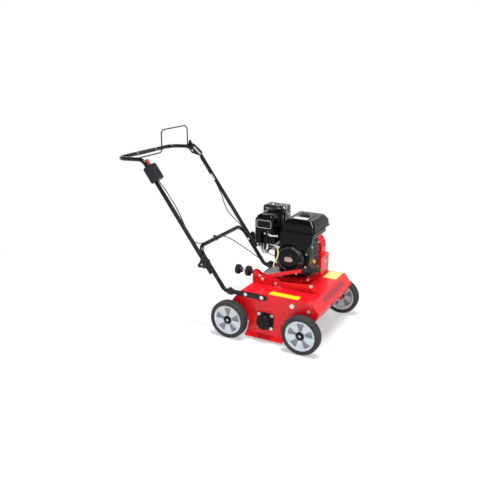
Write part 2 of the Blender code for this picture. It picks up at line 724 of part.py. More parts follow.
def belt_guard():
    """Red cover over the belt with its square foot in front, open towards the deck."""
    top_r = BELT_GUARD_R
    sheet = GUARD_SHEET
    foot = DECK_TOP + GAP

    def dome(inset):
        radius = top_r - inset
        base = foot - (0.02 if inset else 0)
        return ([Vector((SHAFT_X + radius, base))] + arc(ENGINE_SHAFT, radius, 0, math.pi, 12)
                + [Vector((SHAFT_X - radius, base))])

    box_low = (0.090, CASE_FAR + 0.002, foot)
    box_high = (0.1335, BELT_GUARD_FAR + 0.004, foot + 0.108)
    guard = join(plate("belt_guard", dome(0), BELT_GUARD_NEAR, BELT_GUARD_FAR),
                 box("join_guard_foot", box_low, box_high))
    vents = [box(f"cut_guard_vent_{i}", (SHAFT_X + top_r - 0.012, BELT_GUARD_NEAR + 0.010,
                                         SHAFT_Z + 0.018 - 0.016 * i),
                 (SHAFT_X + top_r + 0.02, BELT_GUARD_FAR - 0.010, SHAFT_Z + 0.024 - 0.016 * i))
             for i in range(3)]
    cut(guard, plate("cut_guard_inside", dome(sheet), BELT_GUARD_NEAR + sheet, BELT_GUARD_FAR - sheet),
        box("cut_foot_inside", (box_low[0] + sheet, box_low[1] + sheet, foot - 0.01),
            (box_high[0] - sheet, box_high[1] - sheet, box_high[2] - sheet)),
        cross_bore("cut_crankshaft_hole", ENGINE_SHAFT, BELT_GUARD_NEAR - 0.02, BELT_GUARD_NEAR + 0.01,
                   SHAFT_R + 0.004, 16), *vents)
    join(guard, cross_bar("join_idler_pin", IDLER, BELT_GUARD_NEAR + 0.001, BELT_GUARD_NEAR + 0.012, 0.004, 12))
    finish(guard, RED)


def engine_base():
    """Red plinth on the deck and the light plate that the engine is bolted to."""
    top = DECK_TOP + GAP
    plinth = box("engine_plinth", (-0.125, -0.030, top), (0.085, CASE_FAR - 0.002, PLINTH_TOP), 0.004)
    finish(plinth, RED)
    finish(box("engine_plate", (-0.135, -0.022, PLINTH_TOP + GAP), (0.123, CASE_FAR - 0.001, PLATE_TOP)), GREY)


def crankcase():
    """Engine block on its rubber mounts, with the saddle that carries the tank."""
    body = box("crankcase", (CASE_REAR, CASE_NEAR, MOUNT_TOP + 0.010), (CASE_FRONT, CASE_FAR, CASE_TOP), 0.014)
    flange = box("join_case_flange", (CASE_REAR - 0.010, CASE_NEAR + 0.004, MOUNT_TOP),
                 (CASE_FRONT + 0.004, CASE_FAR - 0.002, MOUNT_TOP + 0.012))
    mounts = [cylinder(f"join_mount_{i}_{j}", (x, y, PLATE_TOP + GAP), (x, y, MOUNT_TOP + 0.004), MOUNT_R, 10)
              for i, x in enumerate((CASE_REAR + 0.006, CASE_FRONT - 0.012))
              for j, y in enumerate((CASE_NEAR + 0.017, CASE_FAR - 0.016))]
    saddle = box("join_tank_saddle", (SHAFT_X - 0.02, 0.030, CASE_TOP - 0.02),
                 (SHAFT_X + 0.07, 0.100, TANK_BASE - GAP))
    body = join(body, flange, saddle, *mounts)
    cut(body, cross_bore("cut_crankshaft_bore", ENGINE_SHAFT, CASE_FAR - 0.03, CASE_FAR + 0.01, SHAFT_R, 20),
        cylinder_block(GAP, "cut_cylinder_seat"),
        bore("cut_filler_seat", OIL_SEAT + Vector((0.02, 0, 0.008)),
             OIL_SEAT - Vector((0.02, 0, 0.008)), 0.008, 12))
    finish(body, ENGINE)
    plug_end = OIL_SEAT + Vector((0.018, 0, 0.0072))
    root = OIL_SEAT + Vector((-0.010, 0, -0.004))
    filler = join(cylinder("oil_filler", OIL_SEAT + Vector((0.0065, 0, 0.0026)), plug_end, 0.012, 14),
                  cylinder("join_filler_stem", root, plug_end, 0.008, 12))
    finish(filler, YELLOW)


def cylinder_block(grow, name):
    """Slanted block of the cylinder, used for the cylinder itself and for its seat."""
    half = CYLINDER_SIZE / 2 + grow
    run = Vector((-math.cos(CYLINDER_TILT), math.sin(CYLINDER_TILT)))
    rise = Vector((run.y, -run.x))
    start = ENGINE_SHAFT + 0.055 * run
    end = ENGINE_SHAFT + (CYLINDER_REACH + grow) * run
    outline = [start + half * rise, start - half * rise, end - half * rise, end + half * rise]
    return plate(name, outline, CYLINDER_Y - half, CYLINDER_Y + half)


def cylinder_piece():
    """Finned barrel and head, slanting up to the rear, with its exhaust port on top."""
    run = Vector((-math.cos(CYLINDER_TILT), math.sin(CYLINDER_TILT)))
    rise = Vector((run.y, -run.x))
    barrel = cylinder_block(0, "cylinder")
    grooves = []
    for i in range(FIN_COUNT):
        along = ENGINE_SHAFT + (0.100 + FIN_PITCH * i * 0.9) * run
        for j, face in enumerate((-1, 1)):
            inner = along + face * 0.031 * rise
            outer = along + face * 0.060 * rise
            half = run * FIN_PITCH * 0.22
            grooves.append(plate(f"cut_fin_{i}_{j}", [inner - half, inner + half, outer + half, outer - half],
                                 CYLINDER_Y - 0.05, CYLINDER_Y + 0.05))
    port = box("join_exhaust_port", (-0.118, CYLINDER_Y + 0.001, SHAFT_Z + 0.060),
               (-0.092, CYLINDER_Y + 0.034, MUFFLER_Z - GAP))
    face = ENGINE_SHAFT + (CYLINDER_REACH - 0.001) * run
    outline = [face - 0.036 * rise, face + 0.036 * rise, face + 0.034 * rise + 0.014 * run,
               face + 0.026 * rise + 0.018 * run, face - 0.026 * rise + 0.018 * run, face - 0.034 * rise + 0.014 * run]
    cover = plate("join_valve_cover", outline, CYLINDER_Y - 0.034, CYLINDER_Y + 0.034)
    finish(join(cut(barrel, *grooves), port, cover), ALLOY)
    spot = ENGINE_SHAFT + (CYLINDER_REACH - 0.012) * run
    side = CYLINDER_Y + CYLINDER_SIZE / 2 + GAP
    cap = join(cross_bar("spark_plug_cap", spot, side, side + 0.030, 0.008, 14),
               cylinder("join_plug_lead", lift(spot, side + 0.022), lift(spot + Vector((0.03, 0.004)), side + 0.026),
                        0.005, 10))
    finish(cap, RUBBER)


def fan_side():
    """Blower housing with the recoil starter's slotted cover and its pull grip."""
    depth = BLOWER_DEPTH
    profile = [(0, depth), (BLOWER_R - 0.010, depth), (BLOWER_R - 0.003, depth - 0.003),
               (BLOWER_R, depth - 0.010), (BLOWER_R, 0.004), (BLOWER_R - 0.004, 0.0), (0, 0.0)]
    finish(turned("blower_housing", profile, lift(ENGINE_SHAFT, CASE_NEAR - GAP), -AXIS_Y, 24), ENGINE)
    depth = RECOIL_DEPTH
    profile = [(0, depth - 0.002), (EMBLEM_R - 0.002, depth - 0.002), (EMBLEM_R, depth),
               (EMBLEM_R + 0.004, depth), (RECOIL_R - 0.016, depth - 0.002), (RECOIL_R - 0.004, depth - 0.010),
               (RECOIL_R, depth - 0.020), (RECOIL_R, 0.0), (0, 0.0)]
    cover = turned("recoil_cover", profile, lift(ENGINE_SHAFT, BLOWER_FACE - GAP), -AXIS_Y, 24)
    slots = []
    for i in range(RECOIL_SLOTS):
        angle = 2 * math.pi * i / RECOIL_SLOTS
        wide = arc((0, 0), RECOIL_R - 0.018, angle - 0.075, angle + 0.075, 1)
        narrow = arc((0, 0), EMBLEM_R + 0.010, angle + 0.10, angle - 0.10, 1)
        slots.append(moved(wide + narrow, ENGINE_SHAFT))
    face = BLOWER_FACE - GAP - depth
    cut(cover, plate("cut_recoil_slots", slots[0], face - 0.01, face + 0.006, holes=slots[1:]))
    across = Vector((math.cos(STARTER_TILT), math.sin(STARTER_TILT)))
    pull = Vector((-across.y, across.x))
    spot = Vector((STARTER.x, STARTER.z)) - (STARTER_R + GAP) * pull
    guide = [spot - 0.008 * across, spot - 0.008 * across - 0.014 * pull, spot + 0.008 * across - 0.014 * pull,
             spot + 0.008 * across]
    join(cover, plate("join_rope_guide", guide, STARTER.y - 0.005, BLOWER_FACE - 0.018))
    finish(cover, ENGINE)
    half = lift(0.015 * across, 0)
    grip = cylinder("starter_grip", STARTER + half, STARTER - half, STARTER_R, 12)
    finish(grip, BLACK, pivot("starter_grip_axis", STARTER))


def shroud_panel():
    """Lower panel in front of the tank, scalloped round the starter cover."""
    high = BLOWER_FACE - GAP
    outline = fillet(rectangle(TANK_REAR - 0.008, TANK_FRONT - 0.005, SHAFT_Z + 0.059, TANK_SEAM - 0.005),
                     0.008, 3, closed=True)
    panel = cut(plate("shroud_panel", outline, TANK_NEAR + 0.005, high),
                cross_bore("cut_shroud_scallop", ENGINE_SHAFT, -0.2, 0.1, RECOIL_R, 24))
    finish(panel, ENGINE)


def fuel_tank():
    """Tank in two halves with a seam flange, and the quarter-turn cap on top."""
    low = box("join_tank_lower", (TANK_REAR + 0.012, -0.045, TANK_BASE),
              (TANK_FRONT - 0.013, TANK_FAR - 0.012, TANK_SEAM + 0.002), 0.010)
    seam = box("join_tank_seam", (TANK_REAR - 0.004, TANK_NEAR - 0.004, TANK_SEAM - 0.0015),
               (TANK_FRONT + 0.004, TANK_FAR + 0.004, TANK_SEAM + 0.0020))
    upper = box("fuel_tank", (TANK_REAR, TANK_NEAR, TANK_SEAM - 0.001), (TANK_FRONT, TANK_FAR, TANK_TOP), 0.016)
    tank = join(upper, seam, low)
    finish(tank, ENGINE)
    centre = Vector((0.074, 0.020, TANK_TOP + GAP))
    cap = turned("fuel_cap", [(0, 0.013), (CAP_R - 0.004, 0.013), (CAP_R, 0.010), (CAP_R, 0.0), (0, 0.0)],
                 centre, (0, 0, 1), 18)
    finish(cap, BLACK, pivot("fuel_cap_axis", centre))


def intake():
    """Air cleaner on its base, carburettor on the cylinder's near side, and the choke lever."""
    near_side = CYLINDER_Y - CYLINDER_SIZE / 2 - GAP
    cover = box("air_cleaner_cover", (CLEANER_REAR, TANK_NEAR, CLEANER_FOOT),
                (CLEANER_FRONT, CASE_NEAR - GAP, CLEANER_TOP), 0.012)
    panel = fillet(rectangle(CLEANER_REAR + PANEL_INSET, CLEANER_FRONT - PANEL_INSET, PANEL_FOOT, PANEL_TOP),
                   0.008, 3, closed=True)
    cover = cut(cover, cross_bore("cut_cover_scallop", ENGINE_SHAFT, BLOWER_FACE - 0.0005, 0.05, BLOWER_R, 24),
                plate("cut_cover_panel", panel, TANK_NEAR - 0.01, TANK_NEAR + 0.0015))
    finish(cover, ENGINE)
    base = box("air_cleaner_base", (-0.152, CASE_NEAR, 0.356), (CASE_REAR - 0.003, near_side, 0.500), 0.003, 1)
    body_x, bowl_y = -0.126, -0.008
    base = join(base, box("join_intake_elbow", (body_x - 0.016, CASE_NEAR, 0.3503),
                          (body_x + 0.016, near_side, 0.362)))
    base = cut(base, cross_bore("cut_base_scallop", ENGINE_SHAFT, -0.1, 0.05, BLOWER_R, 24))
    finish(base, BLACK)
    body = box("carburettor", (body_x - 0.024, -0.030, 0.305), (body_x + 0.024, near_side, 0.350), 0.004, 1)
    body = join(body, cylinder("join_float_bowl", (body_x, bowl_y, 0.287), (body_x, bowl_y, 0.307), 0.020, 16))
    finish(body, ALLOY)
    spot = Vector((body_x - 0.012, 0.332))
    lever = join(plate("choke_lever", hull_of_two(spot, 0.005, spot + Vector((-0.020, 0.002)), 0.004, 4),
                       -0.0345, -0.030 - GAP),
                 cylinder("join_choke_knob", (spot.x - 0.020, -0.0400, spot.y + 0.002),
                          (spot.x - 0.020, -0.033, spot.y + 0.002), 0.004, 10))
    finish(lever, BLACK, pivot("choke_lever_axis", lift(spot, -0.032)))


def exhaust():
    """Muffler on the exhaust port, under a perforated guard on two posts."""
    low = Vector((-0.173, 0.035, 0.445))
    high = Vector((-0.045, 0.120, 0.445 + GUARD_HEIGHT))
    body = box("muffler", (low.x + 0.009, low.y + 0.008, MUFFLER_Z + 0.012), (high.x - 0.009, high.y - 0.008,
                                                                             high.z - 0.010), 0.010)
    pipe = box("join_exhaust_pipe", (-0.116, CYLINDER_Y + 0.003, MUFFLER_Z), (-0.094, CYLINDER_Y + 0.032,
                                                                            MUFFLER_Z + 0.03))
    wall = Vector((0.0015, 0.0015, 0.0015))
    chamber = box("cut_muffler_chamber", Vector((low.x + 0.009, low.y + 0.008, MUFFLER_Z + 0.012)) + wall,
                  Vector((high.x - 0.009, high.y - 0.008, high.z - 0.010)) - wall, 0.0085)
    inlet = cylinder("cut_muffler_inlet", (-0.105, CYLINDER_Y + 0.0175, MUFFLER_Z - 0.01),
                     (-0.105, CYLINDER_Y + 0.0175, MUFFLER_Z + 0.02), 0.008, 10)
    finish(cut(join(body, pipe), chamber, inlet), STEEL)
    guard = box("muffler_guard", low, high, 0.008, 1)
    sheet = Vector((0.0018, 0.0018, 0.0018))
    inside = box("cut_guard_cavity", low + sheet - Vector((0, 0, 0.02)), high - sheet, 0.006, 1)
    slots = []
    columns = 7
    for i in range(columns):
        x = low.x + 0.016 + (high.x - low.x - 0.032) * i / (columns - 1)
        slots.append(box(f"cut_guard_side_{i}", (x - 0.0025, low.y - 0.01, low.z + 0.018),
                         (x + 0.0025, high.y + 0.01, high.z - 0.022)))
        slots.append(box(f"cut_guard_top_{i}", (x - 0.0025, low.y + 0.014, high.z - 0.005),
                         (x + 0.0025, high.y - 0.014, high.z + 0.01)))
    rows = 4
    for i in range(rows):
        y = low.y + 0.016 + (high.y - low.y - 0.032) * i / (rows - 1)
        slots.append(box(f"cut_guard_end_{i}", (low.x - 0.01, y - 0.0025, low.z + 0.018),
                         (high.x + 0.01, y + 0.0025, high.z - 0.022)))
    guard = cut(guard, inside, *slots)
    mid_y = (low.y + high.y) / 2
    posts = [cylinder(f"join_guard_post_{i}", (x, mid_y, high.z - 0.010 + GAP), (x, mid_y, high.z - 0.001), 0.0045, 8)
             for i, x in enumerate((low.x + 0.040, high.x - 0.040))]
    finish(join(guard, *posts), ENGINE)


def front_crank():
    """Cross shaft with its two arms, stub axles and the lug that the depth lever pulls."""
    axis = pivot("front_crank_axis", lift(CRANK, 0))
    end = PLATE_Y + 0.003
    shaft = cross_bar("front_crank", CRANK, -end, end, CRANK_R, 14)
    pieces = []
    arm_far = PLATE_Y - SHEET - ARM_CLEARANCE
    hub = TRACK / 2 - TYRE_WIDTH / 2 + 0.0015
    tip = TRACK / 2 + TYRE_WIDTH / 2 - 0.009
    for word, side in SIDES:
        low, high = side_span(side, arm_far - ARM_SHEET, arm_far)
        pieces.append(plate(f"join_arm_{word}", hull_of_two(CRANK, 0.020, FRONT_AXLE, ARM_WIDTH / 2, 4), low, high))
        profile = [(0, tip + 0.007), (0.0065, tip + 0.007), (0.0065, tip), (AXLE_R, tip), (AXLE_R, hub),
                   (0.012, hub), (0.012, hub - 0.012), (AXLE_R, hub - 0.012), (AXLE_R, arm_far - 0.004),
                   (0, arm_far - 0.004)]
        pieces.append(turned(f"join_stub_{word}", profile, lift(FRONT_AXLE, 0), side * AXIS_Y, 12))
    half = LEVER_SHEET / 2
    pieces.append(plate("join_lug", hull_of_two(CRANK, 0.020, LUG_EYE, 0.012, 4), LUG_Y - half, LUG_Y + half))
    finish(join(shaft, *pieces), RED, axis)
    for _, side in SIDES:
        wheel("front", FRONT_AXLE, side, axis)


def depth_lever():
    """Lever with cam plate and tang, its grip, and the bar that links it to the lug."""
    axis = pivot("depth_lever_axis", lift(LEVER, LUG_Y))
    half = LEVER_SHEET / 2
    low, high = LUG_Y - half, LUG_Y + half
    heading = Vector((math.cos(GRIP_TILT), math.sin(GRIP_TILT)))
    grip_start = Vector((GRIP_X, GRIP_Z))
    root = LEVER + Vector((0, 0.012))
    bar_half = 0.0085
    run = (grip_start - root).normalized()
    across = Vector((-run.y, run.x)) * bar_half
    bar = [root - across, grip_start - across, grip_start + across, root + across]
    tang_across = Vector((-heading.y, heading.x)) * 0.005
    tang_start = grip_start - 0.008 * heading
    tang_end = grip_start + 0.8 * GRIP_LENGTH * heading
    tang = [tang_start - tang_across, tang_end - tang_across, tang_end + tang_across, tang_start + tang_across]
    lever = join(plate("depth_lever", hull_of_two(LEVER, 0.020, LINK_PIN, 0.011, 6), low, high),
                 plate("join_lever_bar", bar, low, high), plate("join_lever_tang", tang, low, high),
                 cross_bar("join_link_pin", LINK_PIN, LINK_NEAR - 0.0035, high - 0.001, 0.004, 12))
    cut(lever, cross_bore("cut_lever_bore", LEVER, low - 0.01, high + 0.01, LEVER_PIN_R, 16))
    finish(lever, RED, axis)
    start = lift(grip_start + 0.003 * heading, LUG_Y)
    length = GRIP_LENGTH
    profile = [(0, length), (GRIP_R - 0.006, length), (GRIP_R - 0.001, length - 0.006), (GRIP_R, length - 0.014),
               (GRIP_R, 0.004), (GRIP_R - 0.002, 0.0), (0, 0.0)]
    grip = turned("lever_grip", profile, start, (heading.x, 0, heading.y), 14)
    slot_across = Vector((-heading.y, heading.x)) * (0.005 + GAP)
    slot_start = grip_start - 0.01 * heading
    slot_end = tang_end + GAP * heading
    slot = plate("cut_grip_slot", [slot_start - slot_across, slot_end - slot_across, slot_end + slot_across,
                                   slot_start + slot_across], low - GAP, high + GAP)
    finish(cut(grip, slot), RUBBER, axis)
    link_axis = pivot("link_bar_axis", lift(LINK_PIN, LUG_Y), axis)
    end_r = LINK_HEIGHT / 2
    link = plate("link_bar", hull_of_two(LINK_PIN, end_r, LUG_EYE, end_r, 6), LINK_NEAR, LINK_FAR)
    link = join(link, cross_bar("join_eye_bolt", LUG_EYE, LINK_NEAR - 0.005, LINK_NEAR + 0.001, 0.0065, 6))
    cut(link, cross_bore("cut_link_bore", LINK_PIN, LINK_NEAR - 0.01, LINK_FAR + 0.01, 0.004, 12))
    finish(link, RED, link_axis)


def lever_bracket():
    """Channel on the deck that carries the lever's pin and, in its rear wall, the depth spindle."""
    half = BRACKET_WIDTH / 2
    foot = DECK_TOP + GAP
    top = DECK_TOP + BRACKET_HEIGHT
    wall = 0.003
    outline = [(BRACKET_REAR, foot), (BRACKET_FRONT, foot), (BRACKET_FRONT, top - 0.031),
               (BRACKET_FRONT - 0.060, top - 0.020), (BRACKET_REAR + 0.010, top), (BRACKET_REAR, top)]
    low, high = BRACKET_Y - half, BRACKET_Y + half
    body = plate("lever_bracket", outline, low, high)
    body = cut(body, box("cut_bracket_channel", (BRACKET_REAR + wall, low + wall, foot + wall),
                         (BRACKET_FRONT + 0.01, high - wall, top + 0.01)),
               bore("cut_spindle_bore", (BRACKET_REAR - 0.01, BRACKET_Y, SPINDLE_Z),
                    (BRACKET_REAR + 0.01, BRACKET_Y, SPINDLE_Z), SPINDLE_R, 16))
    body = join(body, cross_bar("join_lever_pin", LEVER, low - 0.002, high - 0.001, LEVER_PIN_R, 16),
                cross_bar("join_stop_bolt", LEVER + Vector((-0.015, 0.0165)), low - 0.004, low + 0.001, 0.006, 6))
    finish(body, RED)


def depth_knobs():
    """Threaded spindle with its scalloped knob, and the lock knob that runs on it."""
    axis = (-1, 0, 0)
    place = Vector((DEPTH_KNOB_X, BRACKET_Y, SPINDLE_Z))
    half = KNOB_THICKNESS / 2
    holder = pivot("depth_knob_axis", place)
    disc = plate("depth_knob", moved(scallops(DEPTH_KNOB_R, 0.0012, 8, 32), (BRACKET_Y, SPINDLE_Z)),
                 place.x - half, place.x + half, "X")
    spindle = cylinder("join_spindle", (place.x, place.y, place.z), (SPINDLE_TIP, place.y, place.z), SPINDLE_R, 12)
    hub = cylinder("join_knob_hub", (place.x + half - 0.002, place.y, place.z),
                   (place.x + half + 0.016, place.y, place.z), 0.017, 16, 0.011)
    finish(join(disc, spindle, hub), BLACK, holder)
    lock_place = Vector((LOCK_KNOB_X, BRACKET_Y, SPINDLE_Z))
    bore_r = around(SPINDLE_R, 16)
    profile = [(bore_r, half), (0.012, half), (LOCK_KNOB_R - 0.004, half - 0.004), (LOCK_KNOB_R, half - 0.007),
               (LOCK_KNOB_R, -half + 0.004), (LOCK_KNOB_R - 0.003, -half), (0.013, -half), (0.011, -half - 0.020),
               (bore_r, -half - 0.020)]
    lock = turned("lock_knob", profile, lock_place, axis, 16, ring=True)
    finish(lock, BLACK, pivot("lock_knob_axis", lock_place))


def leg_spot(along, across=0.0):
    """A side-view spot measured from the fold bolt, up the leg and square to it."""
    return FOLD + along * LEG + across * LEG_NORMAL


def lower_handle():
    """U-shaped tube from clamp to clamp, with its crossbar and cable clip above the fold bolts."""
    foot_z = CLAMP_Z
    knee = FOLD + LEG * ((foot_z - FOLD.y) / LEG.y)
    route = []
    for _, side in SIDES:
        ends = [lift((CLAMP_FRONT - 0.002, foot_z), side * LOWER_LEG_Y), lift(knee, side * LOWER_LEG_Y)]
        corner = lift(LOWER_BAR, side * LOWER_LEG_Y)
        leg = fillet([*ends, corner], LOWER_BEND, 3)[:-1]
        route.append(leg + [corner])
    corners = fillet([route[0][-2], route[0][-1], route[1][-1], route[1][-2]], LOWER_CORNER, 4)
    frame = tube("lower_handle", route[0][:-1] + corners[1:-1] + route[1][:-1][::-1], TUBE_R)
    clip = cross_bar("join_cable_clip", LOWER_BAR, CLIP_Y - 0.007, CLIP_Y + 0.007, TUBE_R + 0.0022, 16)
    frame = join(cut(frame, cross_bore("cut_lower_bolt_holes", FOLD, -0.3, 0.3, FOLD_BOLT_R, 12)), clip)
    finish(frame, BLACK)


def handle_bracket(word, side):
    """Bar on the side plate whose collar clamps the lower handle's end."""
    near = PLATE_Y + GAP
    low, high = side_span(side, near, near + BAR_SHEET)
    half = BAR_HEIGHT / 2
    bar = rectangle(CLAMP_REAR, BAR_FRONT, BAR_Z - half, BAR_Z + half)
    bar[1].y -= 0.003
    bar[2].y -= 0.003
    bracket = plate(f"handle_bracket_{word}", fillet(bar, 0.009, 2, closed=True), low, high)
    y = side * LOWER_LEG_Y
    collar = cylinder(f"join_collar_{word}", (CLAMP_REAR, y, CLAMP_Z), (CLAMP_FRONT, y, CLAMP_Z), 0.0165, 12)
    ear_low, ear_high = side_span(side, LOWER_LEG_Y - 0.004, near + 0.004)
    ear = box(f"join_clamp_ear_{word}", (CLAMP_REAR + 0.005, ear_low, CLAMP_Z + 0.008),
              (CLAMP_FRONT - 0.005, ear_high, CLAMP_Z + 0.033))
    bolts = [cross_bar(f"join_bar_bolt_{word}_{i}", (x, BAR_Z), *side_span(side, near + 0.004, near + BAR_SHEET + 0.005),
                       0.0065, 6) for i, x in enumerate((-0.125, -0.0345))]
    bracket = join(bracket, collar, ear, *bolts)
    cut(bracket, bore(f"cut_collar_{word}", (CLAMP_REAR - 0.02, y, CLAMP_Z), (CLAMP_FRONT + 0.004, y, CLAMP_Z),
                      TUBE_R + 0.0002, 12))
    finish(bracket, BLACK)


def upper_handle(axis):
    """U-shaped tube with its crossbar, bolted outside the lower handle."""
    tail = leg_spot(-LEG_TAIL)
    route = []
    for _, side in SIDES:
        y = side * UPPER_LEG_Y
        route.append(fillet([lift(tail, y), lift(BEND, y), lift(CROSSBAR, y)], 0.055, 3)[:-1] + [lift(CROSSBAR, y)])
    corners = fillet([route[0][-2], route[0][-1], route[1][-1], route[1][-2]], UPPER_CORNER, 4)
    frame = tube("upper_handle", route[0][:-1] + corners[1:-1] + route[1][:-1][::-1], TUBE_R)
    frame = cut(frame, cross_bore("cut_upper_bolt_holes", FOLD, -0.3, 0.3, FOLD_BOLT_R, 12),
                cross_bore("cut_bail_hole", BAIL, -0.2505, 0.0, WIRE_R, 12))
    finish(frame, BLACK, axis)


def star_knob(word, side, fold_axis):
    """Three-lobed knob on the fold bolt, with the bolt's round head inside the lower tube."""
    near = UPPER_LEG_Y + TUBE_R + 0.001
    place = lift(FOLD, side * near)
    holder = pivot(f"star_knob_{word}_axis", place, fold_axis)
    low, high = side_span(side, near + 0.004, near + 0.021)
    lobes = [Vector((math.cos(a), math.sin(a))) * STAR_KNOB_R * (0.80 + 0.20 * math.cos(3 * a + math.pi / 2))
             for a in (2 * math.pi * k / 24 for k in range(24))]
    knob = plate(f"star_knob_{word}", moved(lobes, FOLD), low, high)
    hub = cross_bar(f"join_star_hub_{word}", FOLD, *side_span(side, near, near + 0.010), 0.012, 16)
    inner = LOWER_LEG_Y - TUBE_R - GAP
    bolt = cross_bar(f"join_star_bolt_{word}", FOLD, *side_span(side, inner - 0.003, near + 0.006), FOLD_BOLT_R, 12)
    head = cross_bar(f"join_star_head_{word}", FOLD, *side_span(side, inner - 0.005, inner), 0.009, 12)
    finish(join(knob, hub, bolt, head), BLACK, holder)


def bail(fold_axis):
    """Wire loop that the hand presses to the crossbar, on its bracket by the left leg."""
    axis = pivot("bail_wire_axis", lift(BAIL, 0), fold_axis)
    top = BAIL + Vector((0, BAIL_HEIGHT))
    hub_low = BAIL_OUTER_Y - 0.0065
    route = [lift(BAIL, -UPPER_LEG_Y + TUBE_R - 0.004), lift(BAIL, BAIL_INNER_Y), lift(top, BAIL_INNER_Y),
             lift(top, BAIL_OUTER_Y), lift(BAIL, BAIL_OUTER_Y)]
    wire = tube("bail_wire", fillet(route, BAIL_CORNER, 3), WIRE_R)
    hub = cross_bar("join_bail_hub", BAIL, hub_low, hub_low + 0.013, 0.011, 16)
    wire = join(wire, hub)
    cut(wire, cross_bore("cut_bail_hub", BAIL, BAIL_OUTER_Y - 0.003, 0.24, 0.004, 12))
    finish(wire, BLACK, axis)
    near = hub_low + 0.013 + GAP
    outline = [BEND + Vector(spot) for spot in ((-0.050, -0.010), (-0.030, -0.016), (-0.012, -0.038), (0.006, -0.040),
                                                (0.048, -0.050), (0.054, -0.040), (0.010, 0.004), (-0.030, 0.018),
                                                (-0.050, 0.012))]
    slot = [BEND + Vector(spot) for spot in ((-0.016, -0.020), (-0.006, -0.028), (-0.002, -0.023), (-0.012, -0.015))]
    bracket = plate("bail_bracket", outline, near, near + 0.002, holes=[slot])
    feet = [cross_bar(f"join_bracket_foot_{i}", spot, near + 0.001, UPPER_LEG_Y - TUBE_R - GAP, 0.005, 12)
            for i, spot in enumerate((leg_spot(UPPER_LEG - 0.0616), BEND + Vector((-0.032, -0.0015))))]
    pin = cross_bar("join_bail_pin", BAIL, BAIL_OUTER_Y - 0.002, near + 0.001, 0.004, 12)
    finish(join(bracket, pin, *feet), BLACK, fold_axis)


def clutch_adjuster(fold_axis):
    """Sheath, clip and threaded adjuster that lead the clutch cable down the left leg."""
    y = CLUTCH_CABLE[0].y
    upper, lower, tip = leg_spot(SHEATH_TOP, 0.005), leg_spot(SHEATH_FOOT, 0.005), ADJUSTER_END
    sheath = cylinder("clutch_adjuster", lift(upper, y), lift(lower, y), 0.0055, 12)
    clip = cross_bar("join_sheath_clip", leg_spot(SHEATH_FOOT + 0.022, 0.001), y,
                     UPPER_LEG_Y - TUBE_R - GAP, 0.0045, 12)
    nut = cylinder("join_adjuster", lift(lower, y) + lift(LEG, 0) * 0.002, lift(tip, y), 0.0038, 10)
    finish(join(sheath, clip, nut), BLACK, fold_axis)


def control_box(fold_axis):
    """Throttle housing clamped round the right leg, with the lever in its top slot."""
    y = -UPPER_LEG_Y
    half = BOX_WIDTH / 2
    along, across = BOX_LENGTH / 2, BOX_HEIGHT / 2
    corners = [leg_spot(BOX_ALONG + a, BOX_OFFSET + b)
               for a, b in ((-along, -across), (along, -across), (along, across), (-along, across))]
    body = plate("control_box", fillet(corners, 0.008, 3, closed=True), y - half, y + half)
    pin_spot = leg_spot(BOX_ALONG + along - LEVER_PIN_INSET, BOX_OFFSET + 0.011)
    aim = LEG * math.cos(0.32) + LEG_NORMAL * math.sin(0.32)
    leg_low = lift(leg_spot(BOX_ALONG - 0.08), y)
    leg_high = lift(leg_spot(BOX_ALONG + 0.08), y)
    body = cut(body, bore("cut_box_leg", leg_low, leg_high, TUBE_R, 20),
               cross_bar("cut_lever_pocket", pin_spot, y - 0.004, y + 0.004, 0.0135, 20),
               plate("cut_lever_slot", hull_of_two(pin_spot, 0.011, pin_spot + 0.05 * aim, 0.028, 5),
                     y - 0.004, y + 0.004))
    body = join(body, cross_bar("join_throttle_pin", pin_spot, y - 0.006, y + 0.006, 0.003, 12))
    finish(body, PLASTIC, fold_axis)
    holder = pivot("throttle_lever_axis", lift(pin_spot, y), fold_axis)
    tip = pin_spot + 0.052 * (LEG * math.cos(0.06) + LEG_NORMAL * math.sin(0.06))
    lever = cut(plate("throttle_lever", hull_of_two(pin_spot, 0.0085, tip, 0.0055, 5), y - 0.003, y + 0.003),
                cross_bore("cut_throttle_bore", pin_spot, y - 0.01, y + 0.01, 0.003, 12))
    finish(lever, RED, holder)


def smooth_route(points, step):
    """Points at an even step along a smooth curve through the route's own points."""
    points = [Vector(point) for point in points]
    padded = [2 * points[0] - points[1], *points, 2 * points[-1] - points[-2]]
    dense = []
    for a, b, c, d in zip(padded, padded[1:], padded[2:], padded[3:]):
        for k in range(12):
            t = k / 12
            dense.append(0.5 * (2 * b + (c - a) * t + (2 * a - 5 * b + 4 * c - d) * t * t
                                + (3 * b - a - 3 * c + d) * t ** 3))
    dense.append(points[-1])
    route = [dense[0]]
    for place in dense:
        if (place - route[-1]).length >= step:
            route.append(place)
    if (dense[-1] - route[-1]).length < step / 2:
        route.pop()
    return route + [dense[-1]]


def cables():
    """Throttle and clutch cables along their real routes."""
    finish(tube("throttle_cable", smooth_route(THROTTLE_CABLE, CABLE_STEP), CABLE_R, 8), RUBBER)
    finish(tube("clutch_cable", smooth_route(CLUTCH_CABLE, CABLE_STEP), CABLE_R, 8), RUBBER)


for leftover in list(bpy.data.objects):
    bpy.data.objects.remove(leftover)
PARTS = bpy.data.collections.new("petrol_scarifier")
CUTTERS = bpy.data.collections.new("cutters")
bpy.context.scene.collection.children.link(PARTS)
bpy.context.scene.collection.children.link(CUTTERS)

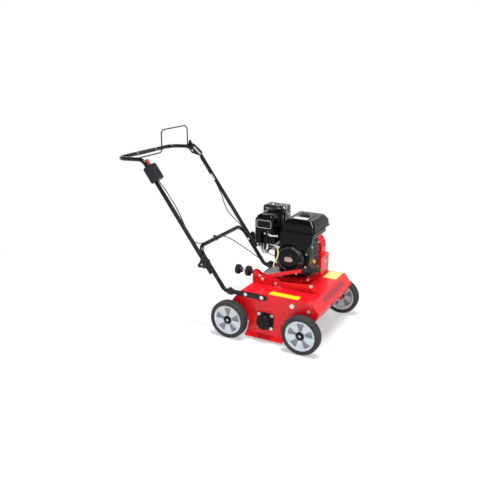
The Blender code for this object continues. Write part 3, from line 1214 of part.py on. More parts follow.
RED = material("red_paint", (0.62, 0.02, 0.03), 0.35)
BLACK = material("black_paint", (0.015, 0.015, 0.017), 0.3)
PLASTIC = material("dark_plastic", (0.03, 0.033, 0.045), 0.5)
ENGINE = material("engine_grey", (0.035, 0.038, 0.048), 0.45)
RUBBER = material("rubber", (0.02, 0.02, 0.02), 0.8)
TYRE = material("tyre_rubber", (0.045, 0.05, 0.052), 0.85)
RIM_GREY = material("rim_plastic", (0.55, 0.60, 0.63), 0.5)
ZINC = material("zinc", (0.6, 0.6, 0.58), 0.35, 1.0)
STEEL = material("steel", (0.35, 0.35, 0.36), 0.4, 1.0)
ALLOY = material("cast_alloy", (0.5, 0.5, 0.52), 0.5, 1.0)
GREY = material("plate_grey", (0.62, 0.65, 0.66), 0.5)
YELLOW = material("yellow_plastic", (0.85, 0.70, 0.03), 0.4)

# Places that depend on the helpers above
FLAP = Vector((DECK_REAR + 0.0057, TAIL_Z - 0.0107))
FLAP_ROD_R = 0.004
PULLEY_FAR = BELT_Y + BELT_WIDTH / 2 + PULLEY_FLANGE + GAP
IDLER = Vector((SHAFT_X - BELT_GUARD_R + 0.016, SHAFT_Z - 0.106))
OIL_SEAT = Vector((CASE_FRONT, CASE_NEAR + 0.022, SHAFT_Z - 0.030))
CYLINDER_Y = (CASE_NEAR + CASE_FAR) / 2 - 0.001
LINK_FAR = LUG_Y - LEVER_SHEET / 2 - 0.0005
LINK_NEAR = LINK_FAR - LINK_SHEET
STARTER = Vector((0.100, -0.0945, 0.320))
STARTER_TILT = math.radians(23)
STARTER_R = 0.007
CLIP_Y = -0.054
ADJUSTER_END = leg_spot(SHEATH_FOOT - ADJUSTER_LENGTH, 0.005)
CLUTCH_START = leg_spot(SHEATH_FOOT - ADJUSTER_LENGTH - 0.001, 0.005)
THROTTLE_START = leg_spot(BOX_ALONG - BOX_LENGTH / 2 - GAP, 0.006)
THROTTLE_Y = -UPPER_LEG_Y + 0.0175

# Cable routes, chosen by hand from the lever's box and the adjuster down to the engine
THROTTLE_CABLE = [
    lift(THROTTLE_START, THROTTLE_Y), lift(THROTTLE_START - 0.015 * LEG, THROTTLE_Y),
    (-0.599, -0.234, 0.617), (-0.566, -0.232, 0.568), (-0.534, -0.231, 0.5235), (-0.499, -0.231, 0.4585),
    (-0.474, -0.229, 0.4075), (-0.453, -0.226, 0.372), (-0.428, -0.218, 0.353), (-0.400, -0.200, 0.3500),
    (-0.3948, -0.139, 0.3490), (-0.3950, -0.072, 0.3505), (-0.3915, -0.030, 0.3445), (-0.383, 0.020, 0.3270),
    (-0.3552, 0.040, 0.308), (-0.3167, 0.050, 0.2851), (-0.2695, 0.055, 0.2592), (-0.2262, 0.055, 0.2372),
    (-0.1807, 0.050, 0.2202), (-0.1394, 0.040, 0.2073), (-0.105, 0.030, 0.2035), (-0.075, 0.028, 0.2110),
    (CASE_REAR - GAP, 0.028, 0.2130)]
CLUTCH_CABLE = [
    lift(CLUTCH_START, 0.232), lift(CLUTCH_START - 0.012 * LEG, 0.232), (-0.556, 0.231, 0.541),
    (-0.532, 0.229, 0.4976), (-0.512, 0.225, 0.449), (-0.485, 0.220, 0.4095), (-0.431, 0.212, 0.3705),
    (-0.388, 0.205, 0.342), (-0.3525, 0.200, 0.3126), (-0.3046, 0.197, 0.273), (-0.2507, 0.196, 0.229),
    (-0.190, 0.196, 0.202), (-0.120, 0.197, 0.194), (-0.075, 0.198, 0.193),
    (SHAFT_X - BELT_GUARD_R - GAP, 0.198, 0.193)]

deck_shell()
for side_word, side_sign in SIDES:
    side_skirt(side_word, side_sign)
    handle_bracket(side_word, side_sign)
rear_flap()
rear_axle()
for _, side_sign in SIDES:
    wheel("rear", REAR_AXLE, side_sign, None)
bearing()
belt_partition()
rotor()
pulley("engine_pulley", ENGINE_SHAFT, ENGINE_PULLEY_R, CASE_FAR - BELT_Y - 0.025,
       pivot("engine_pulley_axis", lift(ENGINE_SHAFT, BELT_Y)))
drive_belt()
idler()
belt_guard()
engine_base()
crankcase()
cylinder_piece()
fan_side()
shroud_panel()
fuel_tank()
intake()
exhaust()
front_crank()
lever_bracket()
depth_lever()
depth_knobs()
lower_handle()
FOLD_AXIS = pivot("upper_handle_axis", lift(FOLD, 0))
upper_handle(FOLD_AXIS)
for side_word, side_sign in SIDES:
    star_knob(side_word, side_sign, FOLD_AXIS)
bail(FOLD_AXIS)
clutch_adjuster(FOLD_AXIS)
control_box(FOLD_AXIS)
cables()

# The body stands on the flats of its wheels, with the middle of its length over the origin
ROOT = bpy.data.objects.new("petrol_scarifier_root", None)
PARTS.objects.link(ROOT)
ROOT.location = ((-(CROSSBAR.x - TUBE_R) - FRONT_AXLE.x - WHEEL_R) / 2, 0,
                 WHEEL_R * math.cos(math.pi / WHEEL_STEPS))
for piece in [*PARTS.objects, *CUTTERS.objects]:
    if piece is not ROOT and not piece.parent:
        piece.parent = ROOT
bpy.context.view_layer.update()
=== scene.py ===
"""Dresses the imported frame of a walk-behind petrol scarifier and puts it on a pale studio floor."""

import json
import math

import bmesh
import bpy
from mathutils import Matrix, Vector


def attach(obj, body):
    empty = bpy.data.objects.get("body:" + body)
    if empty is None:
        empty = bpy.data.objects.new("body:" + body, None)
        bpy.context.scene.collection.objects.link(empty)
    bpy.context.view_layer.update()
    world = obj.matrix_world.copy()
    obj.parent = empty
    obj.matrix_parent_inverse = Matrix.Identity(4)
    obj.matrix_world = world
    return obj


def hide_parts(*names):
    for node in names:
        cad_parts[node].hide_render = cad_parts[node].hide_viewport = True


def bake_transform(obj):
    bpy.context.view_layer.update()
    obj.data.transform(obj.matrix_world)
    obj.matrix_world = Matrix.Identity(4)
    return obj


bl_info = {
    "name": "Petrol Scarifier Looks",
    "version": (1, 0, 0),
    "blender": (4, 5, 0),
    "location": "View3D > Sidebar > Scarifier",
    "description": "Finished pieces, surfaces and studio for the packed frame of a petrol scarifier",
    "category": "Add Mesh",
}

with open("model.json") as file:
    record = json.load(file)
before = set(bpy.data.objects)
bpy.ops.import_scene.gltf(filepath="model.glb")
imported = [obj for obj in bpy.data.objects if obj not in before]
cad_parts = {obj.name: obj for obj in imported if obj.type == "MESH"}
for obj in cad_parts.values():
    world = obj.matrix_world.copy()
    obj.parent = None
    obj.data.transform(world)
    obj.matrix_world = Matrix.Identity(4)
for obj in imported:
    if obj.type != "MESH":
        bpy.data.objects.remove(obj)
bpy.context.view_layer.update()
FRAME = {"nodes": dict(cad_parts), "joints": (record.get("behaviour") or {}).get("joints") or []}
NODES = FRAME["nodes"]


def mm(*rows):
    """Points given in millimetres."""
    return [tuple(value / 1000 for value in row) for row in rows]


def beside(u, v, *rows):
    """Points given in millimetres from a place."""
    return [vec(u + a, v + b) for a, b in mm(*rows)]


def vec(*values):
    return Vector(values)


def aim(angle):
    """The direction at an angle, as a flat vector."""
    return vec(math.cos(angle), math.sin(angle))


# Machine coordinates: X forward, Y to the left, Z up, origin midway between the axles at their height
ROTOR_X, ROTOR_Z = -0.014, 0.01
ROTOR_PLACE = next(joint["pos_m"] for joint in FRAME["joints"] if joint["name"] == "rotor_spin")
ORIGIN = Vector(ROTOR_PLACE) - vec(ROTOR_X, 0, ROTOR_Z)
AXIS_X, AXIS_Y, AXIS_Z = vec(1, 0, 0), vec(0, 1, 0), vec(0, 0, 1)
SIDES = (("right", -1), ("left", 1))
GAP = 0.0003            # between pieces that are bolted together
SKIN = 0.00025          # how far a film stands off its plate
WRAP = 0.0003           # how far the sleeve of the crossbar stands off its tube

# Sizes that the frame's source also has
WHEEL_R = 0.0986
WHEELBASE = 0.3975
TRACK = 0.5684
TYRE_WIDTH = 0.048
HUB_FACE = TRACK / 2 - TYRE_WIDTH / 2 + 0.0015
AXLE_TIP = TRACK / 2 + TYRE_WIDTH / 2 - 0.009
RIM_R = 0.0772
HUB_R = 0.019
SHEET = 0.003
DECK_WIDTH = 0.478
DECK_TOP = 0.152
DECK_REAR = -0.2037
DECK_FRONT = 0.268
TAIL_Z = 0.0887
NOSE_Z = 0.0997
NOSE_RUN = 0.0387
PLATE_FOOT = -0.0075
SKIRT_CREASE = -0.066
SKIRT_FOOT = -0.086
PLATE_Y = DECK_WIDTH / 2
LEG_SLOPE = math.radians(53.83)
TUBE_R = 0.011
LOWER_LEG_Y = 0.23
UPPER_LEG_Y = 0.2535
LOWER_TUBE_Z = 0.126
CLUTCH_Y = 0.232
BOX_PLACE = (0.531, 0.014)       # the throttle housing, up the leg and square to it
BOX_HALF = 0.046
LUG_Y = -0.116
BRACKET_Y = -0.11
SPINDLE_Z = 0.207
CASE_NEAR = 0.005
CASE_FAR = 0.12
BLOWER_DEPTH = 0.0547
BLOWER_FACE = CASE_NEAR - GAP - BLOWER_DEPTH
RECOIL_R = 0.078
CYLINDER_Y = 0.0615
BARREL_NEAR = CYLINDER_Y - 0.0413
PLATE_BASE = 0.1703
PLATE_TOP = 0.174
GUIDE = vec(0.1, -0.0945, 0.32)     # the starter grip's middle
TANK_LOW = vec(-0.011, -0.08, 0.405)
TANK_HIGH = vec(0.167, 0.134, 0.503)
TANK_SEAM = 0.447

# Side-view spots, as (x, z)
REAR_AXLE = vec(-WHEELBASE / 2, 0)
FRONT_AXLE = vec(WHEELBASE / 2, 0)
ROTOR = vec(ROTOR_X, ROTOR_Z)
ENGINE_SHAFT = vec(0.034, 0.296)
CRANK = vec(0.127, 0.117)
LUG_EYE = vec(0.177, 0.189)
LEVER = vec(-0.091, 0.182)
LINK_PIN = vec(-0.015, 0.172)
FOLD = vec(-0.356, 0.266)
LEG = vec(-math.cos(LEG_SLOPE), math.sin(LEG_SLOPE))
LEG_NORMAL = vec(math.sin(LEG_SLOPE), math.cos(LEG_SLOPE))
BEND = FOLD + 0.6224 * LEG
CROSSBAR = BEND + 0.1705 * vec(-math.cos(math.radians(2.6)), -math.sin(math.radians(2.6)))
LOWER_BAR = FOLD + 0.0872 * LEG
BAIL = BEND + vec(-0.0366, 0.0026)
FLAP = vec(DECK_REAR + 0.0057, TAIL_Z - 0.0107)


# ---- Settings ----

def colour_setting(name, description, default):
    return bpy.props.FloatVectorProperty(name=name, description=description, subtype="COLOR", size=3, min=0, max=1,
        default=default)


class ScarifierColours(bpy.types.PropertyGroup):
    """Colours of the finishes, as linear values."""
    red: colour_setting("Red paint", "Gloss coat of the deck and its brackets", (0.76, 0.008, 0.016))
    band: colour_setting("Nose band", "Plain film on the sloping front panel", (0.36, 0.004, 0.012))
    tube: colour_setting("Black paint", "Gloss coat of the handle tubes", (0.003, 0.003, 0.0036))
    moulding: colour_setting("Engine mouldings", "Covers, tank and housings", (0.0024, 0.0028, 0.0034))
    control: colour_setting("Control housing", "Throttle housing on the leg", (0.006, 0.0075, 0.012))
    tyre: colour_setting("Tyre", "Solid tyres", (0.026, 0.029, 0.032))
    rim: colour_setting("Rim", "Moulded wheel centres", (0.57, 0.62, 0.67))
    yellow: colour_setting("Yellow", "Blank strips and the oil filler", (0.86, 0.6, 0.012))


class ScarifierSizes(bpy.types.PropertyGroup):
    """Sizes of the details that the frame leaves open."""
    spokes: bpy.props.IntProperty(name="Spokes", description="Spokes of each wheel", default=5, min=3, max=9)
    tread_blocks: bpy.props.IntProperty(name="Tread blocks", description="Shoulder blocks round each tyre",
        default=32, min=12, max=60)
    sheet_edge: bpy.props.FloatProperty(name="Sheet edge", description="Rounding of the deck's cut edges",
        default=0.0011, min=0.0002, max=0.0014, unit="LENGTH", precision=4)
    guard_pitch: bpy.props.FloatProperty(name="Guard pitch",
        description="Distance between the muffler guard's holes", default=0.0125, min=0.009, max=0.02,
        unit="LENGTH", precision=4)


class ScarifierStudio(bpy.types.PropertyGroup):
    """Floor, light and lens."""
    floor: colour_setting("Floor", "Colour of the floor", (0.93, 0.93, 0.93))
    level: bpy.props.FloatProperty(name="Light", description="Factor on all lamps", default=1.0, min=0.1, max=4)
    lens: bpy.props.FloatProperty(name="Lens", description="Focal length", default=46.5, min=10, max=200,
        subtype="DISTANCE_CAMERA")


# ---- Shader maths ----

class Link:
    """A node's output that takes part in Python arithmetic."""

    def __init__(self, surface, socket):
        self.surface = surface
        self.socket = socket

    def maths(self, operation, *values):
        return self.surface.node("ShaderNodeMath", {"operation": operation}, dict(enumerate(values)))

    def __add__(self, other):
        return self.maths("ADD", self, other)

    def __sub__(self, other):
        return self.maths("SUBTRACT", self, other)

    def __rsub__(self, other):
        return self.maths("SUBTRACT", other, self)

    def __mul__(self, other):
        return self.maths("MULTIPLY", self, other)

    __radd__ = __add__
    __rmul__ = __mul__

    def step(self, low, high):
        """0 below low, 1 above high, and smooth between them."""
        return self.surface.node("ShaderNodeMapRange", {"interpolation_type": "SMOOTHSTEP"},
            {"Value": self, "From Min": low, "From Max": high})


class Surface:
    """A material, or the sky, that is put together from nodes."""

    def __init__(self, name, sky=False):
        self.material = (bpy.data.worlds if sky else bpy.data.materials).new(name)
        self.material.use_nodes = True
        self.tree = self.material.node_tree
        self.tree.nodes.clear()
        self.place = self.node("ShaderNodeTexCoord", {}, {}, "Generated" if sky else "Object")

    def node(self, kind, settings, sockets, output=0):
        """A node whose settings are set before its sockets; gives one of its outputs."""
        node = self.tree.nodes.new(kind)
        for name, value in settings.items():
            if name == "stops":
                ramp = node.color_ramp
                while len(ramp.elements) < len(value):
                    ramp.elements.new(0.5)
                for element, (position, colour) in zip(ramp.elements, value):
                    element.position = position
                    element.color = (*colour, 1)
            else:
                setattr(node, name, value)
        for name, value in sockets.items():
            if isinstance(value, Link):
                self.tree.links.new(value.socket, node.inputs[name])
            else:
                node.inputs[name].default_value = value
        return Link(self, node.outputs[output]) if node.outputs else None

    def noise(self, scale, detail=2.0, roughness=0.5, stretch=None):
        place = self.place
        if stretch:
            place = self.node("ShaderNodeMapping", {}, {"Vector": place, "Scale": stretch})
        return self.node("ShaderNodeTexNoise", {}, {"Vector": place, "Scale": scale, "Detail": detail,
            "Roughness": roughness})

    def mix(self, factor, first, second):
        """From the first colour to the second as the factor goes from 0 to 1."""
        values = [(*value, 1) if isinstance(value, tuple) else value for value in (first, second)]
        return self.node("ShaderNodeMix", {"data_type": "RGBA"}, {0: factor, 6: values[0], 7: values[1]}, 2)

    def bump(self, height, depth, under=None):
        sockets = {"Height": height, "Strength": 1.0, "Distance": depth}
        if under:
            sockets["Normal"] = under
        return self.node("ShaderNodeBump", {}, sockets)

    def seen(self, *kinds):
        """1 for rays of these kinds."""
        return sum((self.node("ShaderNodeLightPath", {}, {}, "Is %s Ray" % kind) for kind in kinds[1:]),
            self.node("ShaderNodeLightPath", {}, {}, "Is %s Ray" % kinds[0]))

    def glow(self, kind, level):
        return self.node(kind, {}, {"Color": (1, 1, 1, 1), "Strength": level})

    def blend(self, factor, first, second):
        return self.node("ShaderNodeMixShader", {}, {0: factor, 1: first, 2: second})

    def principled(self, **sockets):
        """Keywords are the socket names with _ for a blank."""
        return self.node("ShaderNodeBsdfPrincipled", {},
            {name.replace("_", " "): value for name, value in sockets.items()})

    def done(self, **sockets):
        self.node("ShaderNodeOutputMaterial", {}, {"Surface": self.principled(**sockets)})
        return self.material


def shade(colour, factor):
    return tuple(min(1.0, value * factor) for value in colour)


def blend_colours(first, second, share):
    return tuple(a + (b - a) * share for a, b in zip(first, second))


DUST = (0.4, 0.37, 0.31)


def gloss_paint(name, colour, roughness=0.24, coat=0.6, peel=0.00004, shine=0.5):
    """Powder coat with orange peel, faint cloudiness and a few dull hand marks."""
    surface = Surface(name)
    clouds = surface.noise(9, 3)
    marks = surface.noise(28, 4, 0.6).step(0.55, 0.75)
    skin = surface.noise(520, 1)
    base = surface.mix(clouds.step(0.3, 0.7), shade(colour, 0.93), shade(colour, 1.06))
    base = surface.mix(marks * 0.05, base, DUST)
    return surface.done(Base_Color=base, Roughness=roughness + marks * 0.1 + clouds * 0.05, Coat_Weight=coat,
        Coat_Roughness=0.08, Specular_IOR_Level=shine, Normal=surface.bump(skin, peel))


def moulded(name, colour, roughness=0.42, grain=900, depth=0.00005, dust=0.02, coat=0.0, shine=0.35):
    """Moulded plastic with a fine spark-eroded grain, flow clouds and scattered specks of dust."""
    surface = Surface(name)
    flow = surface.noise(14, 3, 0.55, (1, 1, 2.4))
    grains = surface.noise(grain, 2, 0.6)
    specks = surface.noise(60, 5, 0.7).step(0.56, 0.78)
    base = surface.mix(flow, shade(colour, 0.86), shade(colour, 1.16))
    base = surface.mix(specks * dust, base, DUST)
    return surface.done(Base_Color=base, Roughness=roughness - 0.06 + flow * 0.12 + specks * 0.12,
        Coat_Weight=coat, Coat_Roughness=0.1, Specular_IOR_Level=shine, Normal=surface.bump(grains, depth))


def rubber(name, colour, roughness=0.78):
    """Matt rubber with a patchy bloom of dust and fine pores."""
    surface = Surface(name)
    bloom = surface.noise(22, 5, 0.65).step(0.35, 0.8)
    pores = surface.noise(1400, 2)
    waves = surface.noise(70, 2)
    base = surface.mix(bloom * 0.22, colour, blend_colours(colour, DUST, 0.35))
    normal = surface.bump(pores, 0.00005, surface.bump(waves, 0.00015))
    return surface.done(Base_Color=base, Roughness=roughness + bloom * 0.12, Specular_IOR_Level=0.3, Normal=normal)


def plated(name, colour, roughness=0.3, stretch=(1, 1, 1), stain=None, low=0.35, high=0.7):
    """Plated, dark or bare steel with blotches of stain and brushed grain; where the stain colour is lighter than
    the steel, as on the muffler guard and the starter ribs, the blotches are painted highlights.
    """
    surface = Surface(name)
    blotch = surface.noise(55, 4, 0.6)
    grain = surface.noise(900, 2, 0.6, stretch)
    stain = stain or blend_colours(colour, (0.72, 0.62, 0.4), 0.25)
    # Where the stain colour is lighter than the steel, these blotches are painted highlights rather than stain
    base = surface.mix(blotch.step(low, high), colour, stain)
    return surface.done(Base_Color=base, Metallic=1.0, Roughness=roughness + blotch * 0.16 + grain * 0.06,
        Normal=surface.bump(grain, 0.00004))


def cast(name, colour, metallic=0.85, roughness=0.5):
    """Sand-textured casting with darker staining."""
    surface = Surface(name)
    sand = surface.noise(420, 4, 0.7)
    stain = surface.noise(26, 4, 0.6).step(0.4, 0.8)
    base = surface.mix(stain, colour, shade(colour, 0.62))
    return surface.done(Base_Color=base, Metallic=metallic, Roughness=roughness + sand * 0.16,
        Normal=surface.bump(sand, 0.0002))


def film(name, colour, roughness=0.35):
    """Printed film: nearly even, with a slight ripple from the sheet below."""
    surface = Surface(name)
    ripple = surface.noise(40, 2)
    fade = surface.noise(12, 3)
    base = surface.mix(fade, shade(colour, 0.95), shade(colour, 1.04))
    return surface.done(Base_Color=base, Roughness=roughness + fade * 0.08, Normal=surface.bump(ripple, 0.00008))


# name: usual slot, recipe, material, colour or (setting, factor), and the recipe's further values
FINISHES = {
    "red": ("red_paint", gloss_paint, "signal_red_paint", ("red", 1), 0.2, 0.2, 0.00003, 0.2),
    "band": ("red_paint", film, "dark_red_film", ("band", 1), 0.3),
    "tube": ("black_paint", gloss_paint, "gloss_black_paint", ("tube", 1), 0.17, 0.1, 0.000003, 0.25),
    "bracket": ("black_paint", gloss_paint, "satin_black_paint", ("tube", 1.4), 0.26, 0.1, 0.00003, 0.25),
    "knob": ("black_plastic", moulded, "black_knob_plastic", (0.006, 0.006, 0.0068), 0.4),
    "engine": ("engine_plastic", moulded, "engine_moulding", ("moulding", 1), 0.13, 700, 0.00001, 0.006, 0.15,
        0.09),
    "engine_matt": ("black_plastic", moulded, "engine_moulding_matt", ("moulding", 1.5), 0.34, 900, 0.00004, 0.01,
        0.0, 0.15),
    "case": ("engine_cast", cast, "painted_casting", (0.01, 0.011, 0.013), 0.1, 0.4),
    "alloy": ("alloy", cast, "bare_cast_alloy", (0.52, 0.52, 0.54), 0.9, 0.36),
    "control": ("dark_plastic", moulded, "control_plastic", ("control", 1), 0.32),
    "red_plastic": ("red_plastic", moulded, "red_tip_plastic", (0.62, 0.012, 0.015), 0.32, 700, 0.00003, 0.02, 0.3),
    "tyre": ("tyre", rubber, "tyre_rubber", ("tyre", 1)),
    "rubber": ("rubber", rubber, "black_rubber", (0.009, 0.009, 0.0095), 0.55),
    "cable": ("rubber", moulded, "cable_sheath", (0.01, 0.01, 0.011), 0.36, 1200, 0.00002, 0.02),
    "rim": ("rim", moulded, "rim_plastic", ("rim", 1), 0.36, 800, 0.00003, 0.03, 0.1, 0.5),
    # A darker copy of the rim's plastic: painted shade on the floor of the wheels' pockets
    "recess": ("rim", moulded, "rim_recess_plastic", ("rim", 0.42), 0.5, 800, 0.00004, 0.08, 0.0, 0.5),
    "zinc": ("zinc", plated, "zinc_plate", (0.7, 0.7, 0.69), 0.26),
    "steel": ("steel", plated, "bare_steel", (0.4, 0.4, 0.41), 0.34, (1, 9, 1)),
    "hot_steel": ("steel", plated, "heat_darkened_steel", (0.13, 0.12, 0.12), 0.28),
    # The guard's pale blotches are painted glints, standing in for the highlights on its perforated sheet
    "guard": ("black_paint", plated, "blued_guard_steel", (0.035, 0.036, 0.038), 0.16, (1, 1, 1), (0.4, 0.4, 0.41),
        0.46, 0.62),
    # The starter ribs get a lighter metallic grey in place of the engine's black plastic, with lighter blotches:
    # partly painted sheen for the bright ticks they catch
    "ribs": ("engine_plastic", plated, "dark_rib_metal", (0.07, 0.07, 0.075), 0.2, (1, 1, 1), (0.12, 0.12, 0.125)),
    "cream": ("yellow", moulded, "cream_plastic", (0.82, 0.76, 0.34), 0.36, 700, 0.00003, 0.03),
    "plate": ("engine_plastic", film, "blank_plate", (0.46, 0.34, 0.35), 0.3),
    "grey": ("grey_plate", gloss_paint, "grey_plate_paint", (0.5, 0.53, 0.55), 0.4, 0.1),
    "yellow": ("yellow", moulded, "yellow_plastic", ("yellow", 1), 0.36, 700, 0.00003, 0.03),
    "strip": ("yellow", film, "yellow_film", ("yellow", 1), 0.38),
    "pale_strip": ("yellow", film, "pale_yellow_film", (0.88, 0.72, 0.23), 0.4),
    "pale": ("engine_plastic", film, "pale_ring_film", (0.5, 0.5, 0.5), 0.4),
    "dark": ("engine_plastic", moulded, "dark_inside", (0.006, 0.006, 0.007), 0.7),
}
MADE = {}


def finish(name):
    """The finish of that name, made the first time that it is asked for."""
    if name not in MADE:
        _, recipe, material, colour, *values = FINISHES[name]
        if isinstance(colour[0], str):
            colour = shade(getattr(setting("colours"), colour[0]), colour[1])
        MADE[name] = recipe(material, colour, *values)
    return MADE[name]


# ---- Outlines ----

def rounded(points, radius, steps=5, closed=True):
    """A path whose corners are arcs, each as large as its neighbours leave room for."""
    points = [Vector(point) for point in points]
    path = []
    for i, corner in enumerate(points):
        if not closed and i in (0, len(points) - 1):
            path.append(corner)
            continue
        before, after = points[i - 1] - corner, points[(i + 1) % len(points)] - corner
        back, ahead = before.normalized(), after.normalized()
        half = back.angle(ahead) / 2
        turn = math.pi - 2 * half
        if turn < 0.03:
            path.append(corner)
            continue
        fit = min(radius, 0.48 * min(before.length, after.length) * math.tan(half))
        centre = corner + (back + ahead).normalized() * fit / math.sin(half)
        start = corner + back * fit / math.tan(half) - centre
        end = corner + ahead * fit / math.tan(half) - centre
        for k in range(steps + 1):
            share = k / steps
            path.append(centre + (start * math.sin((1 - share) * turn) + end * math.sin(share * turn))
                / math.sin(turn))
    return path


def arc(centre, radius, start, end, steps):
    return [vec(centre[0] + radius * math.cos(start + (end - start) * k / steps),
        centre[1] + radius * math.sin(start + (end - start) * k / steps)) for k in range(steps + 1)]


def circle(centre, radius, steps=32, phase=0.0):
    return arc(centre, radius, phase, phase + math.tau * (steps - 1) / steps, steps - 1)


def rectangle(low_u, high_u, low_v, high_v):
    return [vec(low_u, low_v), vec(high_u, low_v), vec(high_u, high_v), vec(low_u, high_v)]


def pad(low_u, high_u, low_v, high_v, radius, steps):
    """A rectangle with rounded corners."""
    return rounded(rectangle(low_u, high_u, low_v, high_v), radius, steps)


def hull_of_two(first, first_r, second, second_r, steps=14):
    """The outline of a band round two circles."""
    run = second - first
    heading = math.atan2(run.y, run.x)
    spread = math.acos((first_r - second_r) / run.length)
    return (arc(second, second_r, heading - spread, heading + spread, steps)
        + arc(first, first_r, heading + spread, heading - spread + math.tau, steps))


def offset(path, distance):
    """An open path moved sideways, to its right where the distance is positive."""
    result = []
    for i, point in enumerate(path):
        runs = [(b - a).normalized() for a, b in zip(path[max(i - 1, 0):i + 1], path[max(i, 1):i + 2])]
        normals = [vec(run.y, -run.x) for run in runs[:1 if i == 0 else 2]]
        middle = sum(normals, vec(0, 0)).normalized()
        result.append(point + middle * distance / middle.dot(normals[0]))
    return result


def lobes(centre, radius, depth, count, steps=96, phase=0.0):
    """A knob's outline with finger hollows."""
    return [Vector(centre) + aim(a) * (radius + depth * (math.cos(count * a + phase) - 1))
        for a in (math.tau * k / steps for k in range(steps))]


def lift(spot, y):
    """A side-view spot as a place."""
    return vec(spot[0], y, spot[1])


def span(side, near, far):
    return sorted((side * near, side * far))


def leg_spot(along, across=0.0):
    """A side-view spot measured from the fold bolt, up the leg and square to it."""
    return FOLD + along * LEG + across * LEG_NORMAL


# ---- Meshes ----

class Shape:
    """A mesh that grows, in machine coordinates."""

    def __init__(self):
        self.mesh = bmesh.new()

    def turned(self, profile, place, axis=AXIS_Y, steps=48, ring=False, notch=None):
        """(radius, height) points turned round an axis; notch(i, k) changes one point's radius."""
        turn = AXIS_Z.rotation_difference(Vector(axis)).to_matrix()
        rows = []
        for i, (radius, height) in enumerate(profile):
            row = []
            for k in range(steps if radius > 1e-6 else 1):
                angle = math.tau * (k + 0.5) / steps
                reach = radius + (notch(i, k) if notch else 0)
                spot = vec(reach * math.cos(angle), reach * math.sin(angle), height)
                row.append(self.mesh.verts.new(Vector(place) + turn @ spot))
            rows.append(row)
        for first, second in list(zip(rows, rows[1:])) + ([(rows[-1], rows[0])] if ring else []):
            for k in range(steps):
                n = (k + 1) % steps
                corners = [first[k % len(first)], second[k % len(second)], second[n % len(second)],
                    first[n % len(first)]]
                corners = list(dict.fromkeys(corners))
                if len(corners) > 2:
                    self.mesh.faces.new(corners)
        return self

    def bar(self, start, end, radius, steps=28, edge=0.0006):
        """A round bar with broken edges."""
        start, end = Vector(start), Vector(end)
        length = (end - start).length
        edge = min(edge, length * 0.3, radius * 0.5)
        return self.turned([(0, 0), (radius - edge, 0), (radius, edge), (radius, length - edge),
            (radius - edge, length), (0, length)], start, end - start, steps)

    def cross(self, spot, start, end, radius, steps=28, edge=0.0006):
        """A round bar across the machine, through a side-view spot."""
        return self.bar(lift(spot, start), lift(spot, end), radius, steps, edge)

    def slab(self, outline, low, high, edge=0.0, segments=2, axis="Y", holes=()):
        """A flat outline given thickness: (x, z) along Y, (x, y) along Z, (y, z) along X."""
        curve = bpy.data.curves.new("outline", "CURVE")
        curve.dimensions = "2D"
        curve.fill_mode = "BOTH"
        curve.extrude = (high - low) / 2
        for loop in (outline, *holes):
            spline = curve.splines.new("POLY")
            spline.points.add(len(loop) - 1)
            for control, (u, v) in zip(spline.points, loop):
                control.co = (u, v, 0, 1)
            spline.use_cyclic_u = True
        holder = bpy.data.objects.new("outline", curve)
        bpy.context.scene.collection.objects.link(holder)
        seen = holder.evaluated_get(bpy.context.evaluated_depsgraph_get())
        flat = bpy.data.meshes.new_from_object(seen)
        bpy.data.objects.remove(holder)
        bpy.data.curves.remove(curve)
        middle = (low + high) / 2
        for vertex in flat.vertices:
            u, v, w = vertex.co
            vertex.co = {"X": (middle + w, u, v), "Y": (u, middle + w, v), "Z": (u, v, middle + w)}[axis]
        part = bmesh.new()
        part.from_mesh(flat)
        bmesh.ops.remove_doubles(part, verts=part.verts, dist=1e-6)
        tidy(part)
        soften(part, edge, segments)
        return self.take(part, flat)

    def block(self, low, high, edge=0.0, segments=3):
        """A box with rounded edges."""
        low, high = Vector(low), Vector(high)
        part = bmesh.new()
        bmesh.ops.create_cube(part, size=1.0)
        for vertex in part.verts:
            vertex.co = Vector(a + (b - a) * (c + 0.5) for a, b, c in zip(low, high, vertex.co))
        soften(part, edge, segments)
        return self.take(part)

    def pipe(self, points, radius, sides=20, swell=None):
        """A round bar along points, with closed ends; swell(share) scales it along its length."""
        points = [Vector(point) for point in points]
        runs = [(points[min(i + 1, len(points) - 1)] - points[max(i - 1, 0)]).normalized()
            for i in range(len(points))]
        up = runs[0].orthogonal().normalized()
        rings = []
        for i, (point, run) in enumerate(zip(points, runs)):
            if i:
                up = runs[i - 1].rotation_difference(run) @ up
            across = run.cross(up)
            reach = radius * (swell(i / (len(points) - 1)) if swell else 1)
            rings.append([self.mesh.verts.new(point + reach * (up * math.cos(a) + across * math.sin(a)))
                for a in (math.tau * k / sides for k in range(sides))])
        for first, second in zip(rings, rings[1:]):
            for k in range(sides):
                self.mesh.faces.new((first[k - 1], first[k], second[k], second[k - 1]))
        self.mesh.faces.new(rings[0])
        self.mesh.faces.new(rings[-1][::-1])
        return self

    def bolt(self, place, axis, size, height):
        """Hexagon head with a washer, standing on the given place."""
        place, axis = Vector(place), Vector(axis).normalized()
        self.turned([(0, 0), (size * 1.45, 0), (size * 1.5, 0.0004), (size * 1.5, 0.001), (size * 1.4, 0.0014),
            (0, 0.0014)], place, axis, 32)
        self.turned([(0, 0), (size, 0), (size, height * 0.8), (size * 0.86, height), (size * 0.45, height),
            (size * 0.4, height * 0.9), (0, height * 0.9)], place + 0.001 * axis, axis, 6)
        return self

    def take(self, part, mesh=None):
        """Adds another mesh and frees it."""
        mesh = mesh or bpy.data.meshes.new("part")
        bmesh.ops.recalc_face_normals(part, faces=part.faces)
        part.to_mesh(mesh)
        part.free()
        self.mesh.from_mesh(mesh)
        bpy.data.meshes.remove(mesh)
        return self

